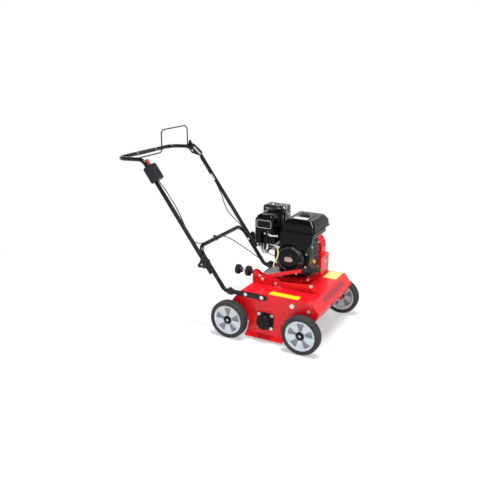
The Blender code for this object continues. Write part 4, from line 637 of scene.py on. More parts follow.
    def carve(self, tool, operation="DIFFERENCE"):
        """Cuts, joins or intersects with another shape, which is used up."""
        solids = []
        for shape in (self, tool):
            bmesh.ops.recalc_face_normals(shape.mesh, faces=shape.mesh.faces)
            mesh = bpy.data.meshes.new("solid")
            shape.mesh.to_mesh(mesh)
            shape.mesh.free()
            solids.append(bpy.data.objects.new("solid", mesh))
            bpy.context.scene.collection.objects.link(solids[-1])
        change = solids[0].modifiers.new("carve", "BOOLEAN")
        change.operation = operation
        change.solver = "EXACT"
        change.use_self = True
        change.object = solids[1]
        seen = solids[0].evaluated_get(bpy.context.evaluated_depsgraph_get())
        result = bpy.data.meshes.new_from_object(seen)
        self.mesh = bmesh.new()
        self.mesh.from_mesh(result)
        bpy.data.meshes.remove(result)
        for solid in solids:
            mesh = solid.data
            bpy.data.objects.remove(solid)
            bpy.data.meshes.remove(mesh)
        tidy(self.mesh)
        return self

    def soften(self, width, segments=2, angle=35):
        soften(self.mesh, width, segments, angle)
        return self

    def stand(self, name, surface, *nodes, body="chassis", slot=None, sharp=32):
        """Makes the shape a piece that rides on a body and stands for CAD nodes."""
        part = self.mesh
        bmesh.ops.recalc_face_normals(part, faces=part.faces)
        for face in part.faces:
            face.smooth = True
        for edge in part.edges:
            edge.smooth = len(edge.link_faces) == 2 and edge.calc_face_angle(0) < math.radians(sharp)
        bmesh.ops.translate(part, verts=part.verts, vec=ORIGIN)
        mesh = bpy.data.meshes.new(name)
        part.to_mesh(mesh)
        part.free()
        mesh.materials.append(finish(surface))
        piece = bpy.data.objects.new(name, mesh)
        bpy.context.scene.collection.objects.link(piece)
        normals = piece.modifiers.new("even_normals", "WEIGHTED_NORMAL")
        normals.keep_sharp = True
        seen = piece.evaluated_get(bpy.context.evaluated_depsgraph_get())
        piece.data = bpy.data.meshes.new_from_object(seen)
        piece.modifiers.clear()
        bpy.data.meshes.remove(mesh)
        if body:
            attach(piece, body)
        if nodes:
            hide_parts(*nodes)
        return piece


def tidy(part):
    """Merges the triangles of each flat face."""
    bmesh.ops.remove_doubles(part, verts=part.verts, dist=1e-6)
    bmesh.ops.dissolve_limit(part, angle_limit=math.radians(0.4), verts=part.verts, edges=part.edges)


def soften(part, width, segments=2, angle=35):
    """Rounds the edges where two faces meet at more than the angle."""
    if width <= 0:
        return
    sharp = [edge for edge in part.edges if len(edge.link_faces) == 2
        and edge.calc_face_angle(0) > math.radians(angle)]
    bmesh.ops.bevel(part, geom=sharp, offset=width, segments=segments, profile=0.5, affect="EDGES",
        clamp_overlap=True)


def bolts(name, size, height, axis, places, surface="zinc"):
    """A piece of like bolt heads."""
    heads = Shape()
    for place in places:
        heads.bolt(place, axis, size, height)
    heads.stand(name, surface)


def bolts_on_sides(name, size, height, y, spots, surface="zinc"):
    """A piece of bolt heads on both sides of the machine, at y from its middle."""
    heads = Shape()
    for side in (-1, 1):
        for spot in spots:
            heads.bolt(lift(spot, side * y), side * AXIS_Y, size, height)
    heads.stand(name, surface)


def repaint(surface, *nodes):
    """Gives CAD nodes whose shape stays a finish."""
    for node in nodes:
        NODES[node].data.materials.clear()
        NODES[node].data.materials.append(finish(surface))


def setting(group):
    return getattr(bpy.context.scene, "scarifier_" + group)


# ---- Deck and what hangs on it ----

def deck_path():
    """Outer face of the bent sheet, from the rear lower edge over the top to the front lip."""
    return rounded([(DECK_REAR, TAIL_Z), (DECK_REAR + 0.014, TAIL_Z + 0.019),
        (DECK_REAR + 0.045, DECK_TOP - 0.009), (DECK_REAR + 0.054, DECK_TOP), (DECK_FRONT - NOSE_RUN, DECK_TOP),
        (DECK_FRONT, NOSE_Z), (DECK_FRONT - 0.014, NOSE_Z - 0.028), (DECK_FRONT - 0.024, NOSE_Z - 0.048)], 0.0045,
        4, closed=False)


def side_plate_outline():
    reach = (FRONT_AXLE - CRANK).length - 0.0215
    low = math.atan2(FRONT_AXLE.y - CRANK.y, FRONT_AXLE.x - CRANK.x)
    swing = arc(CRANK, reach, low + 0.475, low - 0.24, 18)
    foot = [(swing[-1].x - 0.013, PLATE_FOOT), (REAR_AXLE.x + 0.034, PLATE_FOOT)]
    return deck_path() + swing + foot + arc(REAR_AXLE, 0.02, -0.35 * math.pi, -math.pi, 14)


class SCARIFIER_OT_deck(bpy.types.Operator):
    """Bent sheet deck with its side plates, slots and fold lines"""
    bl_idname = "scarifier.deck"
    bl_label = "Deck"

    def execute(self, context):
        inside = offset(deck_path(), SHEET) + [vec(DECK_FRONT, -0.1), vec(DECK_REAR - 0.1, -0.1),
            vec(DECK_REAR - 0.1, TAIL_Z - 0.012)]
        inner = PLATE_Y - SHEET
        deck = Shape().slab(side_plate_outline(), -PLATE_Y, PLATE_Y)
        deck.carve(Shape().slab(inside, -inner, inner))
        deck.carve(Shape().block((CRANK.x - 0.029, LUG_Y - 0.005, DECK_TOP - 0.01),
            (LUG_EYE.x + 0.01, LUG_Y + 0.005, DECK_TOP + 0.01)))
        deck.soften(setting("sizes").sheet_edge, 3, 40)
        deck.stand("deck", "red", "deck_shell")
        return {"FINISHED"}


class SCARIFIER_OT_skirts(bpy.types.Operator):
    """Side skirts with their flared feet and screws"""
    bl_idname = "scarifier.skirts"
    bl_label = "Side skirts"

    def execute(self, context):
        for word, side in SIDES:
            face = PLATE_Y - SHEET - GAP
            path = rounded([(face, PLATE_FOOT + 0.006), (face, SKIRT_CREASE), (face + 0.019, SKIRT_FOOT)], 0.004,
                4, closed=False)
            section = path + offset(path, 0.0025)[::-1]
            section = [vec(side * y, z) for y, z in section]
            rear = mm((-106, 10), (-128, -96), (-206, -96), (-206, 10))
            front = [(0.2, 0.01), (0.2, -0.096), (0.08, -0.096), (0.1, SKIRT_CREASE + 0.01), (0.1, 0.01)]
            low, high = span(side, face - 0.03, face + 0.03)
            skirt = Shape().slab(section, -0.146, 0.11, axis="X")
            skirt.carve(Shape().slab(rear, low, high).slab(front, low, high))
            skirt.soften(0.0006, 2, 50)
            skirt.stand("skirt_" + word, "red", "side_skirt_" + word)
        bolts_on_sides("skirt_screws", 0.0045, 0.0035, PLATE_Y, ((-0.085, -0.0035), (0.075, -0.0035)), "red")
        return {"FINISHED"}


class SCARIFIER_OT_flap(bpy.types.Operator):
    """Rubber discharge flap with moulded ribs, on its rod"""
    bl_idname = "scarifier.flap"
    bl_label = "Rear flap"

    def execute(self, context):
        foot = FLAP + vec(-0.034, -0.158)
        face = vec(-0.008, 0)
        half = PLATE_Y - SHEET - 0.001
        skin = [FLAP + face, foot, foot + vec(0.0025, 0), FLAP + face + vec(0.003, 0)]
        flap = Shape().slab(skin, -half, half, 0.0008)
        fall = foot - FLAP - face
        for share in (0.12, 0.92):
            spot = FLAP + face + share * fall
            flap.cross(spot, -half + 0.004, half - 0.004, 0.003, 12)
        flap.cross(FLAP, -half, half, 0.008, 32)
        flap.stand("flap", "rubber", "rear_flap", body="rear_flap")
        rod = Shape()
        for side in (-1, 1):
            rod.cross(FLAP, side * (half - 0.001), side * (PLATE_Y + 0.002), 0.004)
        rod.stand("flap_rod", "zinc", body="rear_flap")
        return {"FINISHED"}


def nut_end(shape, spot, side):
    """Nut with the axle's end standing out of it."""
    place = lift(spot, side * (AXLE_TIP - 0.0005))
    shape.turned(mm((0, 0), (7, 0), (7, 5), (6, 6), (0, 6)), place, side * AXIS_Y, 6)
    shape.bar(place, place + side * 0.0078 * AXIS_Y, 0.0034, 24)


class SCARIFIER_OT_axles(bpy.types.Operator):
    """Rear axle with spacers and nuts"""
    bl_idname = "scarifier.axles"
    bl_label = "Rear axle"

    def execute(self, context):
        axle = Shape().cross(REAR_AXLE, -AXLE_TIP, AXLE_TIP, 0.0078, 32)
        for side in (-1, 1):
            axle.cross(REAR_AXLE, side * (PLATE_Y + GAP), side * HUB_FACE, 0.012, 40)
            nut_end(axle, REAR_AXLE, side)
        axle.stand("rear_axle_rod", "zinc", "rear_axle")
        return {"FINISHED"}


def wheel(word, spot, side):
    """Tyre, spoked rim whose pockets have a floor painted darker as shade, and hub of one wheel."""
    body = "wheel_" + word
    centre = lift(spot, side * TRACK / 2)
    out = side * AXIS_Y
    half = TYRE_WIDTH / 2
    steps = 4 * setting("sizes").tread_blocks
    shoulder = [(RIM_R + a, half + b) for a, b in mm((0, -4), (2.5, -1.2), (7, -0.1), (12, 0))]
    shoulder += [(WHEEL_R + a, half + b) for a, b in mm((-5.2, -1.2), (-2.2, -3.2), (-0.5, -6.5), (0, -10.5),
        (0, -15.8), (-2.6, -16.4), (-2.6, -18.8), (0, -19.4))]
    profile = shoulder + [(r, -h) for r, h in shoulder[::-1]]
    blocks = {5, 6, 7, len(profile) - 6, len(profile) - 7, len(profile) - 8}
    tyre = Shape().turned(profile, centre, out, steps, True,
        lambda i, k: -0.0017 if i in blocks and k % 4 == 0 else 0.0)
    tyre.stand("tyre_" + word + "_tread", "tyre", "tyre_" + word, body=body, sharp=40)

    outer = RIM_R - GAP
    lip = outer - 0.0105
    web = half - 0.0075
    ring = [(outer + a, half + b) for a, b in mm((-10.5, -11.5), (-9.9, -6.2), (-8.5, -4.6), (-3, -4),
        (-0.8, -4.6), (0, -6.2), (0, -42.5), (-1.2, -44.5), (-4, -44.5), (-10.5, -38))]
    rim = Shape().turned(ring, centre, out, 96, True)
    spokes = setting("sizes").spokes
    pockets = []
    for i in range(spokes):
        angle = math.tau * i / spokes + math.pi / 2
        share = 1.5 / spokes
        wide = arc(spot, lip - 0.0012, angle - share, angle + share, 10)
        narrow = arc(spot, HUB_R + 0.005, angle + share * 0.87, angle - share * 0.87, 6)
        pockets.append(smooth_pocket(wide, narrow))
    low, high = span(side, TRACK / 2 + web - 0.013, TRACK / 2 + web)
    rim.slab(circle(spot, lip + 0.0004, 96), low, high, 0.0012, 3, holes=pockets)
    rim.stand("rim_" + word + "_spokes", "rim", "rim_" + word, body=body, sharp=40)

    # The pockets' floor is a disc painted darker than the rim, as painted shade in the pockets
    floor = Shape().turned([(HUB_R - 0.002, web - 0.0085), (lip + GAP, web - 0.0085), (lip + GAP, web - 0.0105),
        (HUB_R - 0.002, web - 0.0105)], centre, out, 64, True)
    floor.stand("rim_" + word + "_floor", "recess", body=body)
    hub_profile = [(HUB_R + a, half + b) for a, b in mm((-10.7, -1.2), (-6, -1.2), (-4.2, -2.6), (-3, -3),
        (-0.8, -4), (0, -5.6), (3.4, -6.1), (4, -9.5), (1, -19.5), (-2, -44), (-4, -46), (-10.7, -46))]
    hub = Shape().turned(hub_profile, centre, out, 64, True)
    hub.stand("hub_" + word, "engine_matt", body=body, slot="rim")


def smooth_pocket(wide, narrow):
    """A pocket's outline with its four corners rounded."""
    corners = {0, len(wide) - 1, len(wide), len(wide) + len(narrow) - 1}
    outline = wide + narrow
    result = []
    for i, point in enumerate(outline):
        if i in corners:
            before, after = outline[i - 1], outline[(i + 1) % len(outline)]
            back, ahead = before - point, after - point
            reach = min(0.0035, back.length * 0.9, ahead.length * 0.9)
            start, end = point + back.normalized() * reach, point + ahead.normalized() * reach
            for k in range(5):
                t = k / 4
                result.append((1 - t) ** 2 * start + 2 * t * (1 - t) * point + t ** 2 * end)
        else:
            result.append(point)
    return result


class SCARIFIER_OT_wheels(bpy.types.Operator):
    """Four wheels with block treads, spoked rims and hubs"""
    bl_idname = "scarifier.wheels"
    bl_label = "Wheels"

    def execute(self, context):
        for word, side in SIDES:
            wheel("rear_" + word, REAR_AXLE, side)
            wheel("front_" + word, FRONT_AXLE, side)
        return {"FINISHED"}


class SCARIFIER_OT_bearing(bpy.types.Operator):
    """Rotor bearing flange on the right, with its deep cover and four bolts"""
    bl_idname = "scarifier.bearing"
    bl_label = "Bearing"

    def execute(self, context):
        face = -PLATE_Y - GAP
        outline = [ROTOR + point for point in pad(-0.044, 0.044, -0.044, 0.044, 0.012, 8)]
        flange = Shape().slab(outline, face - 0.005, face, 0.001, 3)
        flange.stand("bearing_plate", "bracket", "bearing_flange")
        bolts("bearing_bolts", 0.0058, 0.004, -AXIS_Y, [lift(ROTOR + vec(x, z), face - 0.005)
            for x in (-0.034, 0.034) for z in (-0.034, 0.034)])
        seat = face - 0.0053
        profile = mm((14, 0), (38, 0), (38.8, 0.8), (38.8, 4.5), (37.4, 5.5), (37.4, 7), (38.6, 8), (38.6, 20),
            (37.6, 25), (35, 28.8), (31, 30.7), (0, 31))
        cover = Shape().turned(profile, lift(ROTOR, seat), -AXIS_Y, 64)
        cover.stand("bearing_cap", "engine_matt", "bearing_cover")
        return {"FINISHED"}


class SCARIFIER_OT_rotor(bpy.types.Operator):
    """Rotor shaft with its ground knives and spacers"""
    bl_idname = "scarifier.rotor"
    bl_label = "Rotor"

    def execute(self, context):
        far, near = 0.165, -PLATE_Y + 0.009
        shaft = Shape().cross(ROTOR, -PLATE_Y - 0.023, 0.2153, 0.01, 32)
        shaft.cross(ROTOR, near, far, 0.016, 40)
        room = far - near - 0.03
        for knife in range(8):
            y = near + 0.015 + room * knife / 7
            outline = []
            for tip in range(3):
                angle = knife * math.radians(25) + math.tau * tip / 3
                outline += [ROTOR + 0.03 * aim(angle - 0.55)]
                outline += arc(ROTOR, 0.095, angle - 0.07, angle + 0.07, 3)
                outline += [ROTOR + 0.03 * aim(angle + 0.55)]
            shaft.slab(outline, y, y + 0.0025, 0.0005)
            shaft.turned(mm((15.5, -4), (24, -4), (25, -3), (25, 5.5), (24, 6.5), (15.5, 6.5)), lift(ROTOR, y),
                AXIS_Y, 32, True)
        shaft.stand("knife_rotor", "steel", "rotor", body="rotor")
        return {"FINISHED"}


class SCARIFIER_OT_drive(bpy.types.Operator):
    """Belt drive inside its guard, in the frame's own shapes"""
    bl_idname = "scarifier.drive"
    bl_label = "Belt drive"

    def execute(self, context):
        repaint("steel", "rotor_pulley", "engine_pulley", "idler_arm")
        repaint("rubber", "drive_belt")
        repaint("bracket", "belt_partition")
        return {"FINISHED"}


class SCARIFIER_OT_belt_guard(bpy.types.Operator):
    """Hollow red hood over the belt, with its vents and square foot"""
    bl_idname = "scarifier.belt_guard"
    bl_label = "Belt guard"

    def execute(self, context):
        foot = DECK_TOP + GAP
        near, far = 0.17, 0.232
        low = vec(0.09, CASE_FAR + 0.002, foot)
        high = vec(0.1335, far + 0.004, foot + 0.108)

        def dome(radius, base):
            return ([vec(ENGINE_SHAFT.x + radius, base)] + arc(ENGINE_SHAFT, radius, 0, math.pi, 40)
                + [vec(ENGINE_SHAFT.x - radius, base)])

        guard = Shape().slab(dome(0.082, foot), near, far, 0.0045, 4)
        guard.carve(Shape().block(low, high, 0.003, 3), "UNION")
        tools = Shape().slab(dome(0.08, foot - 0.02), near + 0.002, far - 0.002)
        for i in range(7):
            angle = math.radians(6 + 9 * i)
            across = aim(angle)
            along = vec(-across.y, across.x) * 0.0028
            slot = [ENGINE_SHAFT + 0.07 * across - along, ENGINE_SHAFT + 0.1 * across - along,
                ENGINE_SHAFT + 0.1 * across + along, ENGINE_SHAFT + 0.07 * across + along]
            tools.slab(slot, near + 0.01, far - 0.01)
        guard.carve(tools)
        guard.carve(Shape().block(low + vec(0.002, 0.002, -0.01), high - vec(0.002, 0.002, 0.002)))
        guard.stand("belt_hood", "red", "belt_guard")
        heads = Shape()
        for spot in ((ENGINE_SHAFT.x - 0.06, foot + 0.03), (ENGINE_SHAFT.x + 0.045, ENGINE_SHAFT.y - 0.03),
                (ENGINE_SHAFT.x, ENGINE_SHAFT.y + 0.06)):
            heads.bolt(lift(spot, far), AXIS_Y, 0.005, 0.0035)
        heads.bolt((high.x, (low.y + high.y) / 2, foot + 0.07), AXIS_X, 0.0055, 0.004)
        heads.stand("belt_hood_bolts", "zinc")
        return {"FINISHED"}


def strip_on_top(name, low, high, surface, slot):
    """A blank film on the deck's top."""
    outline = pad(low[0], high[0], low[1], high[1], 0.003, 5)
    film_piece = Shape().slab(outline, DECK_TOP - 0.0002, DECK_TOP + SKIN, axis="Z")
    film_piece.stand(name, surface, slot=slot)


class SCARIFIER_OT_films(bpy.types.Operator):
    """Blank yellow strips on the deck and the plain band on its nose"""
    bl_idname = "scarifier.films"
    bl_label = "Blank films"

    def execute(self, context):
        strip_on_top("strip_right", (-0.005, -0.23), (0.153, -0.188), "strip", "yellow")
        strip_on_top("strip_front", (0.145, 0.125), (0.217, 0.231), "pale_strip", "yellow")
        top, foot = vec(DECK_FRONT - NOSE_RUN, DECK_TOP), vec(DECK_FRONT, NOSE_Z)
        down = (foot - top).normalized()
        out = vec(-down.y, down.x)
        band = Shape()
        outline = pad(-0.13, 0.163, 0.0125, 0.0455, 0.004, 5)
        band.slab(outline, -0.0002, SKIN, axis="Z")
        for vertex in band.mesh.verts:
            y, along, proud = vertex.co
            spot = top + along * down + proud * out
            vertex.co = lift(spot, y)
        band.stand("nose_band", "band")
        bolts_on_sides("side_bolts", 0.0062, 0.0035, PLATE_Y, [(0.2146, 0.104)])
        return {"FINISHED"}


# ---- Handles ----

class SCARIFIER_OT_handle_brackets(bpy.types.Operator):
    """Bars on the side plates whose collars clamp the lower handle"""
    bl_idname = "scarifier.handle_brackets"
    bl_label = "Handle brackets"

    def execute(self, context):
        near = PLATE_Y + GAP
        for word, side in SIDES:
            low, high = span(side, near, near + 0.008)
            bar = rectangle(-0.232, -0.009, 0.1225, 0.1455)
            bar[1].y -= 0.003
            bar[2].y -= 0.003
            bracket = Shape().slab(rounded(bar, 0.009, 8), low, high, 0.0012, 3)
            y = side * LOWER_LEG_Y
            bracket.turned(mm((11.3, 0), (15.5, 0), (16.5, 1), (16.5, 25), (15.5, 26), (11.3, 26)),
                (-0.232, y, LOWER_TUBE_Z), AXIS_X, 48, True)
            ear_low, ear_high = span(side, LOWER_LEG_Y - 0.004, near + 0.004)
            bracket.block((-0.227, ear_low, 0.134), (-0.211, ear_high, 0.149), 0.0015)
            bracket.stand("handle_bar_" + word, "bracket", "handle_bracket_" + word)
        bolts_on_sides("handle_bar_bolts", 0.0066, 0.0042, near + 0.008, [(-0.125, 0.134), (-0.0345, 0.134)])
        return {"FINISHED"}


def handle_route(leg, corner, radius, leg_radius, steps=8):
    """One U-shaped tube from the right leg's end over the crossbar to the left leg's end."""
    sides = []
    for side in (-1, 1):
        points = [lift(spot, side * corner) for spot in leg]
        sides.append(rounded(points, leg_radius, steps, closed=False))
    ends = rounded([sides[0][-2], sides[0][-1], sides[1][-1], sides[1][-2]], radius, steps, closed=False)
    return sides[0][:-1] + ends[1:-1] + sides[1][:-1][::-1]


class SCARIFIER_OT_lower_handle(bpy.types.Operator):
    """Lower tube with its crossbar and cable clip"""
    bl_idname = "scarifier.lower_handle"
    bl_label = "Lower handle"

    def execute(self, context):
        knee = FOLD + LEG * ((LOWER_TUBE_Z - FOLD.y) / LEG.y)
        tube = Shape().pipe(handle_route([(-0.208, LOWER_TUBE_Z), knee, LOWER_BAR], LOWER_LEG_Y, 0.05, 0.042),
            TUBE_R, 28)
        tube.stand("lower_tube", "tube", "lower_handle")
        clip = Shape().cross(LOWER_BAR, -0.061, -0.047, TUBE_R + 0.002, 40, 0.0008)
        clip.block(lift(LOWER_BAR + vec(-0.016, 0.004), -0.059), lift(LOWER_BAR + vec(-0.004, 0.016), -0.049),
            0.002)
        clip.stand("cable_clip", "knob")
        return {"FINISHED"}


class SCARIFIER_OT_upper_handle(bpy.types.Operator):
    """Upper tube with its crossbar, plain grip wrap and end plugs"""
    bl_idname = "scarifier.upper_handle"
    bl_label = "Upper handle"

    def execute(self, context):
        tube = Shape().pipe(handle_route([leg_spot(-0.0644), BEND, CROSSBAR], UPPER_LEG_Y, 0.06, 0.055), TUBE_R, 28)
        tube.stand("upper_tube", "tube", "upper_handle", body="upper_handle")
        wrap = Shape().cross(CROSSBAR, -0.08, 0.086, TUBE_R + WRAP, 40, 0.0003)
        wrap.stand("crossbar_wrap", "rubber", body="upper_handle")
        rings = Shape()
        for low in (-0.084, 0.087):
            rings.cross(CROSSBAR, low, low + 0.003, TUBE_R + WRAP, 40, 0.0002)
        rings.stand("crossbar_rings", "pale", body="upper_handle", slot="black_plastic")
        plugs = Shape()
        for side in (-1, 1):
            end = lift(leg_spot(-0.0644), side * UPPER_LEG_Y)
            plugs.bar(end - 0.0006 * lift(LEG, 0), end + 0.002 * lift(LEG, 0), TUBE_R - 0.0008, 28)
        plugs.stand("leg_plugs", "knob", body="upper_handle")
        return {"FINISHED"}


class SCARIFIER_OT_star_knobs(bpy.types.Operator):
    """Three-lobed knobs on the fold bolts"""
    bl_idname = "scarifier.star_knobs"
    bl_label = "Star knobs"

    def execute(self, context):
        for word, side in SIDES:
            near = UPPER_LEG_Y + TUBE_R + 0.001
            body = "star_knob_" + word
            low, high = span(side, near + 0.004, near + 0.021)
            outline = [FOLD + aim(a) * 0.029 * (0.8 + 0.2 * math.cos(3 * a + math.pi / 2))
                for a in (math.tau * k / 90 for k in range(90))]
            knob = Shape().slab(outline, low, high, 0.0035, 4)
            knob.cross(FOLD, side * near, side * (near + 0.012), 0.012, 40, 0.001)
            knob.stand("star_" + word, "knob", "star_knob_" + word, body=body)
            inner = LOWER_LEG_Y - TUBE_R - GAP
            bolt = Shape().cross(FOLD, side * (inner - 0.002), side * (near + 0.004), 0.0039, 20)
            bolt.turned(mm((0, 0), (9.2, 0), (8.6, 2.2), (6, 4), (0, 4.8)), lift(FOLD, side * inner),
                -side * AXIS_Y, 36)
            bolt.turned(mm((0, 0), (4.5, 0), (4.5, 0.7), (0, 0.7)), lift(FOLD, side * (near + 0.0205)),
                side * AXIS_Y, 24)
            bolt.stand("star_bolt_" + word, "zinc", body=body)
        return {"FINISHED"}


class SCARIFIER_OT_bail(bpy.types.Operator):
    """Clutch bail wire on its slotted bracket"""
    bl_idname = "scarifier.bail"
    bl_label = "Clutch bail"

    def execute(self, context):
        top = BAIL + vec(0, 0.1213)
        outer = 0.226
        route = rounded([lift(BAIL, -UPPER_LEG_Y + TUBE_R - 0.004), lift(BAIL, -0.03), lift(top, -0.03),
            lift(top, outer - 0.02), lift(top - vec(0, 0.02), outer), lift(BAIL, outer)], 0.024, 8, closed=False)
        wire = Shape().pipe(route, 0.0036, 16)
        wire.cross(BAIL, outer - 0.0065, outer + 0.0065, 0.011, 40, 0.001)
        wire.cross(BAIL, -0.2385, -0.235, 0.0052, 24)
        wire.stand("bail_loop", "tube", "bail_wire", body="bail_wire")
        near = outer + 0.0068
        outline = beside(*BEND, (-50, -10), (-30, -16), (-12, -38), (6, -40), (48, -52), (60, -26), (12, 14),
            (-12, 22), (-17, 38), (-31, 38), (-34, 18), (-50, 12))
        slot = beside(*BEND, (-16, -20), (-6, -28), (-2, -23), (-12, -15))
        plate = Shape().slab(rounded(outline, 0.006, 5), near, near + 0.002, 0.0005,
            holes=[rounded(slot, 0.002, 3)])
        spots = (leg_spot(0.5608), BEND + vec(-0.032, -0.0015))
        for spot in spots:
            plate.cross(spot, near + 0.001, UPPER_LEG_Y - TUBE_R, 0.005, 24)
        plate.stand("bail_plate", "bracket", "bail_bracket", body="upper_handle")
        screws = Shape().slab(hull_of_two(BEND + vec(0.006, -0.004), 0.006, BEND + vec(0.046, -0.037), 0.004),
            near - 0.0008, near + 0.0004)
        for spot in spots:
            screws.bolt(lift(spot, near), -AXIS_Y, 0.0038, 0.0028)
        screws.stand("bail_screws", "zinc", body="upper_handle")
        return {"FINISHED"}


class SCARIFIER_OT_controls(bpy.types.Operator):
    """Throttle housing with its lever, and the clutch cable's adjuster"""
    bl_idname = "scarifier.controls"
    bl_label = "Controls"

    def execute(self, context):
        y = -UPPER_LEG_Y
        along, across = BOX_PLACE

        def outline(half, low, high, radius, steps):
            corners = rectangle(along - half, along + half, across + low, across + high)
            return rounded([leg_spot(*corner) for corner in corners], radius, steps)

        box = Shape().slab(outline(BOX_HALF, -0.0305, 0.0305, 0.01, 6), y - 0.023, y + 0.023, 0.0035, 4)
        pin = leg_spot(0.555, 0.025)
        opening = LEG * math.cos(0.32) + LEG_NORMAL * math.sin(0.32)
        tool = Shape().cross(pin, y - 0.004, y + 0.004, 0.0135, 40, 0.0001)
        tool.slab(hull_of_two(pin, 0.011, pin + 0.05 * opening, 0.028), y - 0.004, y + 0.004)
        box.carve(tool)
        for shift in (-0.034, 0.0, 0.028):
            spot = leg_spot(along + shift, 0.004 if shift else 0.026)
            box.turned(mm((0, 0), (5.2, 0), (4.8, 0.7), (3, 0.7), (2.6, 0.1), (0, 0.1)), lift(spot, y - 0.0229),
                -AXIS_Y, 28)
        box.stand("throttle_housing", "control", "control_box", body="upper_handle")
        seam = Shape().slab(outline(BOX_HALF + 0.0002, -0.0012, 0.0, 0.0004, 2), y - 0.0232, y + 0.0232)
        seam.stand("housing_seam", "dark", body="upper_handle", slot="dark_plastic")
        tip = pin + 0.051 * (LEG * math.cos(0.08) - LEG_NORMAL * math.sin(0.08))
        lever = Shape().slab(hull_of_two(pin, 0.0085, tip, 0.0055), y - 0.003, y + 0.003, 0.0007)
        lever.cross(tip - 0.002 * LEG, y - 0.0075, y + 0.0075, 0.0075, 28, 0.0018)
        lever.stand("throttle_tip", "red_plastic", "throttle_lever", body="throttle_lever")

        y = CLUTCH_Y
        upper, lower, end = leg_spot(0.545, 0.005), leg_spot(0.43, 0.005), leg_spot(0.398, 0.005)
        down = (lower - upper).normalized()
        sheath = Shape().bar(lift(upper, y), lift(lower, y), 0.0053, 28, 0.001)
        for i in range(6):
            spot = upper + (0.008 + 0.004 * i) * down
            sheath.bar(lift(spot, y), lift(spot + 0.002 * down, y), 0.0058, 24, 0.0004)
        sheath.bar(lift(lower - 0.002 * down, y), lift(end, y), 0.0036, 20, 0.0004)
        sheath.cross(leg_spot(0.452, 0.001), y, UPPER_LEG_Y - TUBE_R, 0.0045, 24)
        sheath.stand("cable_sheath", "knob", "clutch_adjuster", body="upper_handle")
        nuts = Shape()
        for low, high, radius in ((0.431, 0.427, 0.0076), (0.427, 0.392, 0.0056), (0.414, 0.41, 0.0076)):
            nuts.turned([(0, 0), (radius, 0), (radius, low - high), (0, low - high)],
                lift(leg_spot(low, 0.006), y), lift(-LEG, 0), 6 if radius > 0.005 else 24)
        nuts.stand("adjuster_nuts", "zinc", body="upper_handle")
        return {"FINISHED"}


# ---- Depth control ----

class SCARIFIER_OT_front_crank(bpy.types.Operator):
    """Cross shaft, arms, stub axles and lug of the front wheels"""
    bl_idname = "scarifier.front_crank"
    bl_label = "Front crank"

    def execute(self, context):
        crank = Shape().cross(CRANK, -PLATE_Y - 0.001, PLATE_Y + 0.001, 0.0122, 40)
        zinc = Shape()
        far = PLATE_Y - SHEET - 0.004
        for side in (-1, 1):
            low, high = span(side, far - 0.008, far)
            crank.slab(hull_of_two(CRANK, 0.02, FRONT_AXLE, 0.013), low, high, 0.0012, 3)
            zinc.cross(FRONT_AXLE, side * (far - 0.012), side * AXLE_TIP, 0.0078, 32)
            crank.cross(FRONT_AXLE, side * (PLATE_Y + 0.0025), side * (HUB_FACE - 0.0008), 0.0165, 40)
            zinc.bolt(lift(FRONT_AXLE, side * (far - 0.008)), -side * AXIS_Y, 0.0085, 0.005)
            nut_end(zinc, FRONT_AXLE, side)
            zinc.turned(mm((0, -1), (12.2, -1), (12.4, 1.5), (11.2, 2.7), (5.2, 3), (4.6, 1.6), (0, 1.6)),
                lift(CRANK, side * PLATE_Y), side * AXIS_Y, 48)
        crank.slab(hull_of_two(CRANK, 0.02, LUG_EYE, 0.012), LUG_Y - 0.003, LUG_Y + 0.003, 0.0008)
        crank.stand("crank_arms", "red", "front_crank", body="front_crank")
        zinc.bolt(lift(LUG_EYE, LUG_Y + 0.003), AXIS_Y, 0.0062, 0.0045)
        zinc.stand("crank_fittings", "zinc", body="front_crank")
        return {"FINISHED"}


class SCARIFIER_OT_lever_bracket(bpy.types.Operator):
    """Channel that carries the depth lever and its spindle"""
    bl_idname = "scarifier.lever_bracket"
    bl_label = "Lever bracket"

    def execute(self, context):
        foot, top = DECK_TOP + GAP, DECK_TOP + 0.069
        rear, front = -0.148, -0.035
        outline = [(rear, foot), (front, foot), (front, top - 0.029), (front - 0.073, top - 0.013),
            (rear + 0.022, top), (rear, top)]
        low, high = BRACKET_Y - 0.0145, BRACKET_Y + 0.0145
        channel = Shape().slab(rounded(outline, 0.005, 5), low, high)
        channel.carve(Shape().block((rear + 0.003, low + 0.003, foot + 0.003),
            (front + 0.01, high - 0.003, top + 0.01)))
        channel.soften(0.0008, 2, 40)
        channel.stand("lever_channel", "red", "lever_bracket")
        fittings = Shape().cross(LEVER, low - 0.001, high - 0.001, 0.0057, 32)
        fittings.bolt(lift(LEVER, low), -AXIS_Y, 0.0062, 0.0042)
        fittings.bolt(lift(LEVER + vec(-0.015, 0.0165), low), -AXIS_Y, 0.0052, 0.0035)
        fittings.stand("channel_bolts", "zinc")
        return {"FINISHED"}


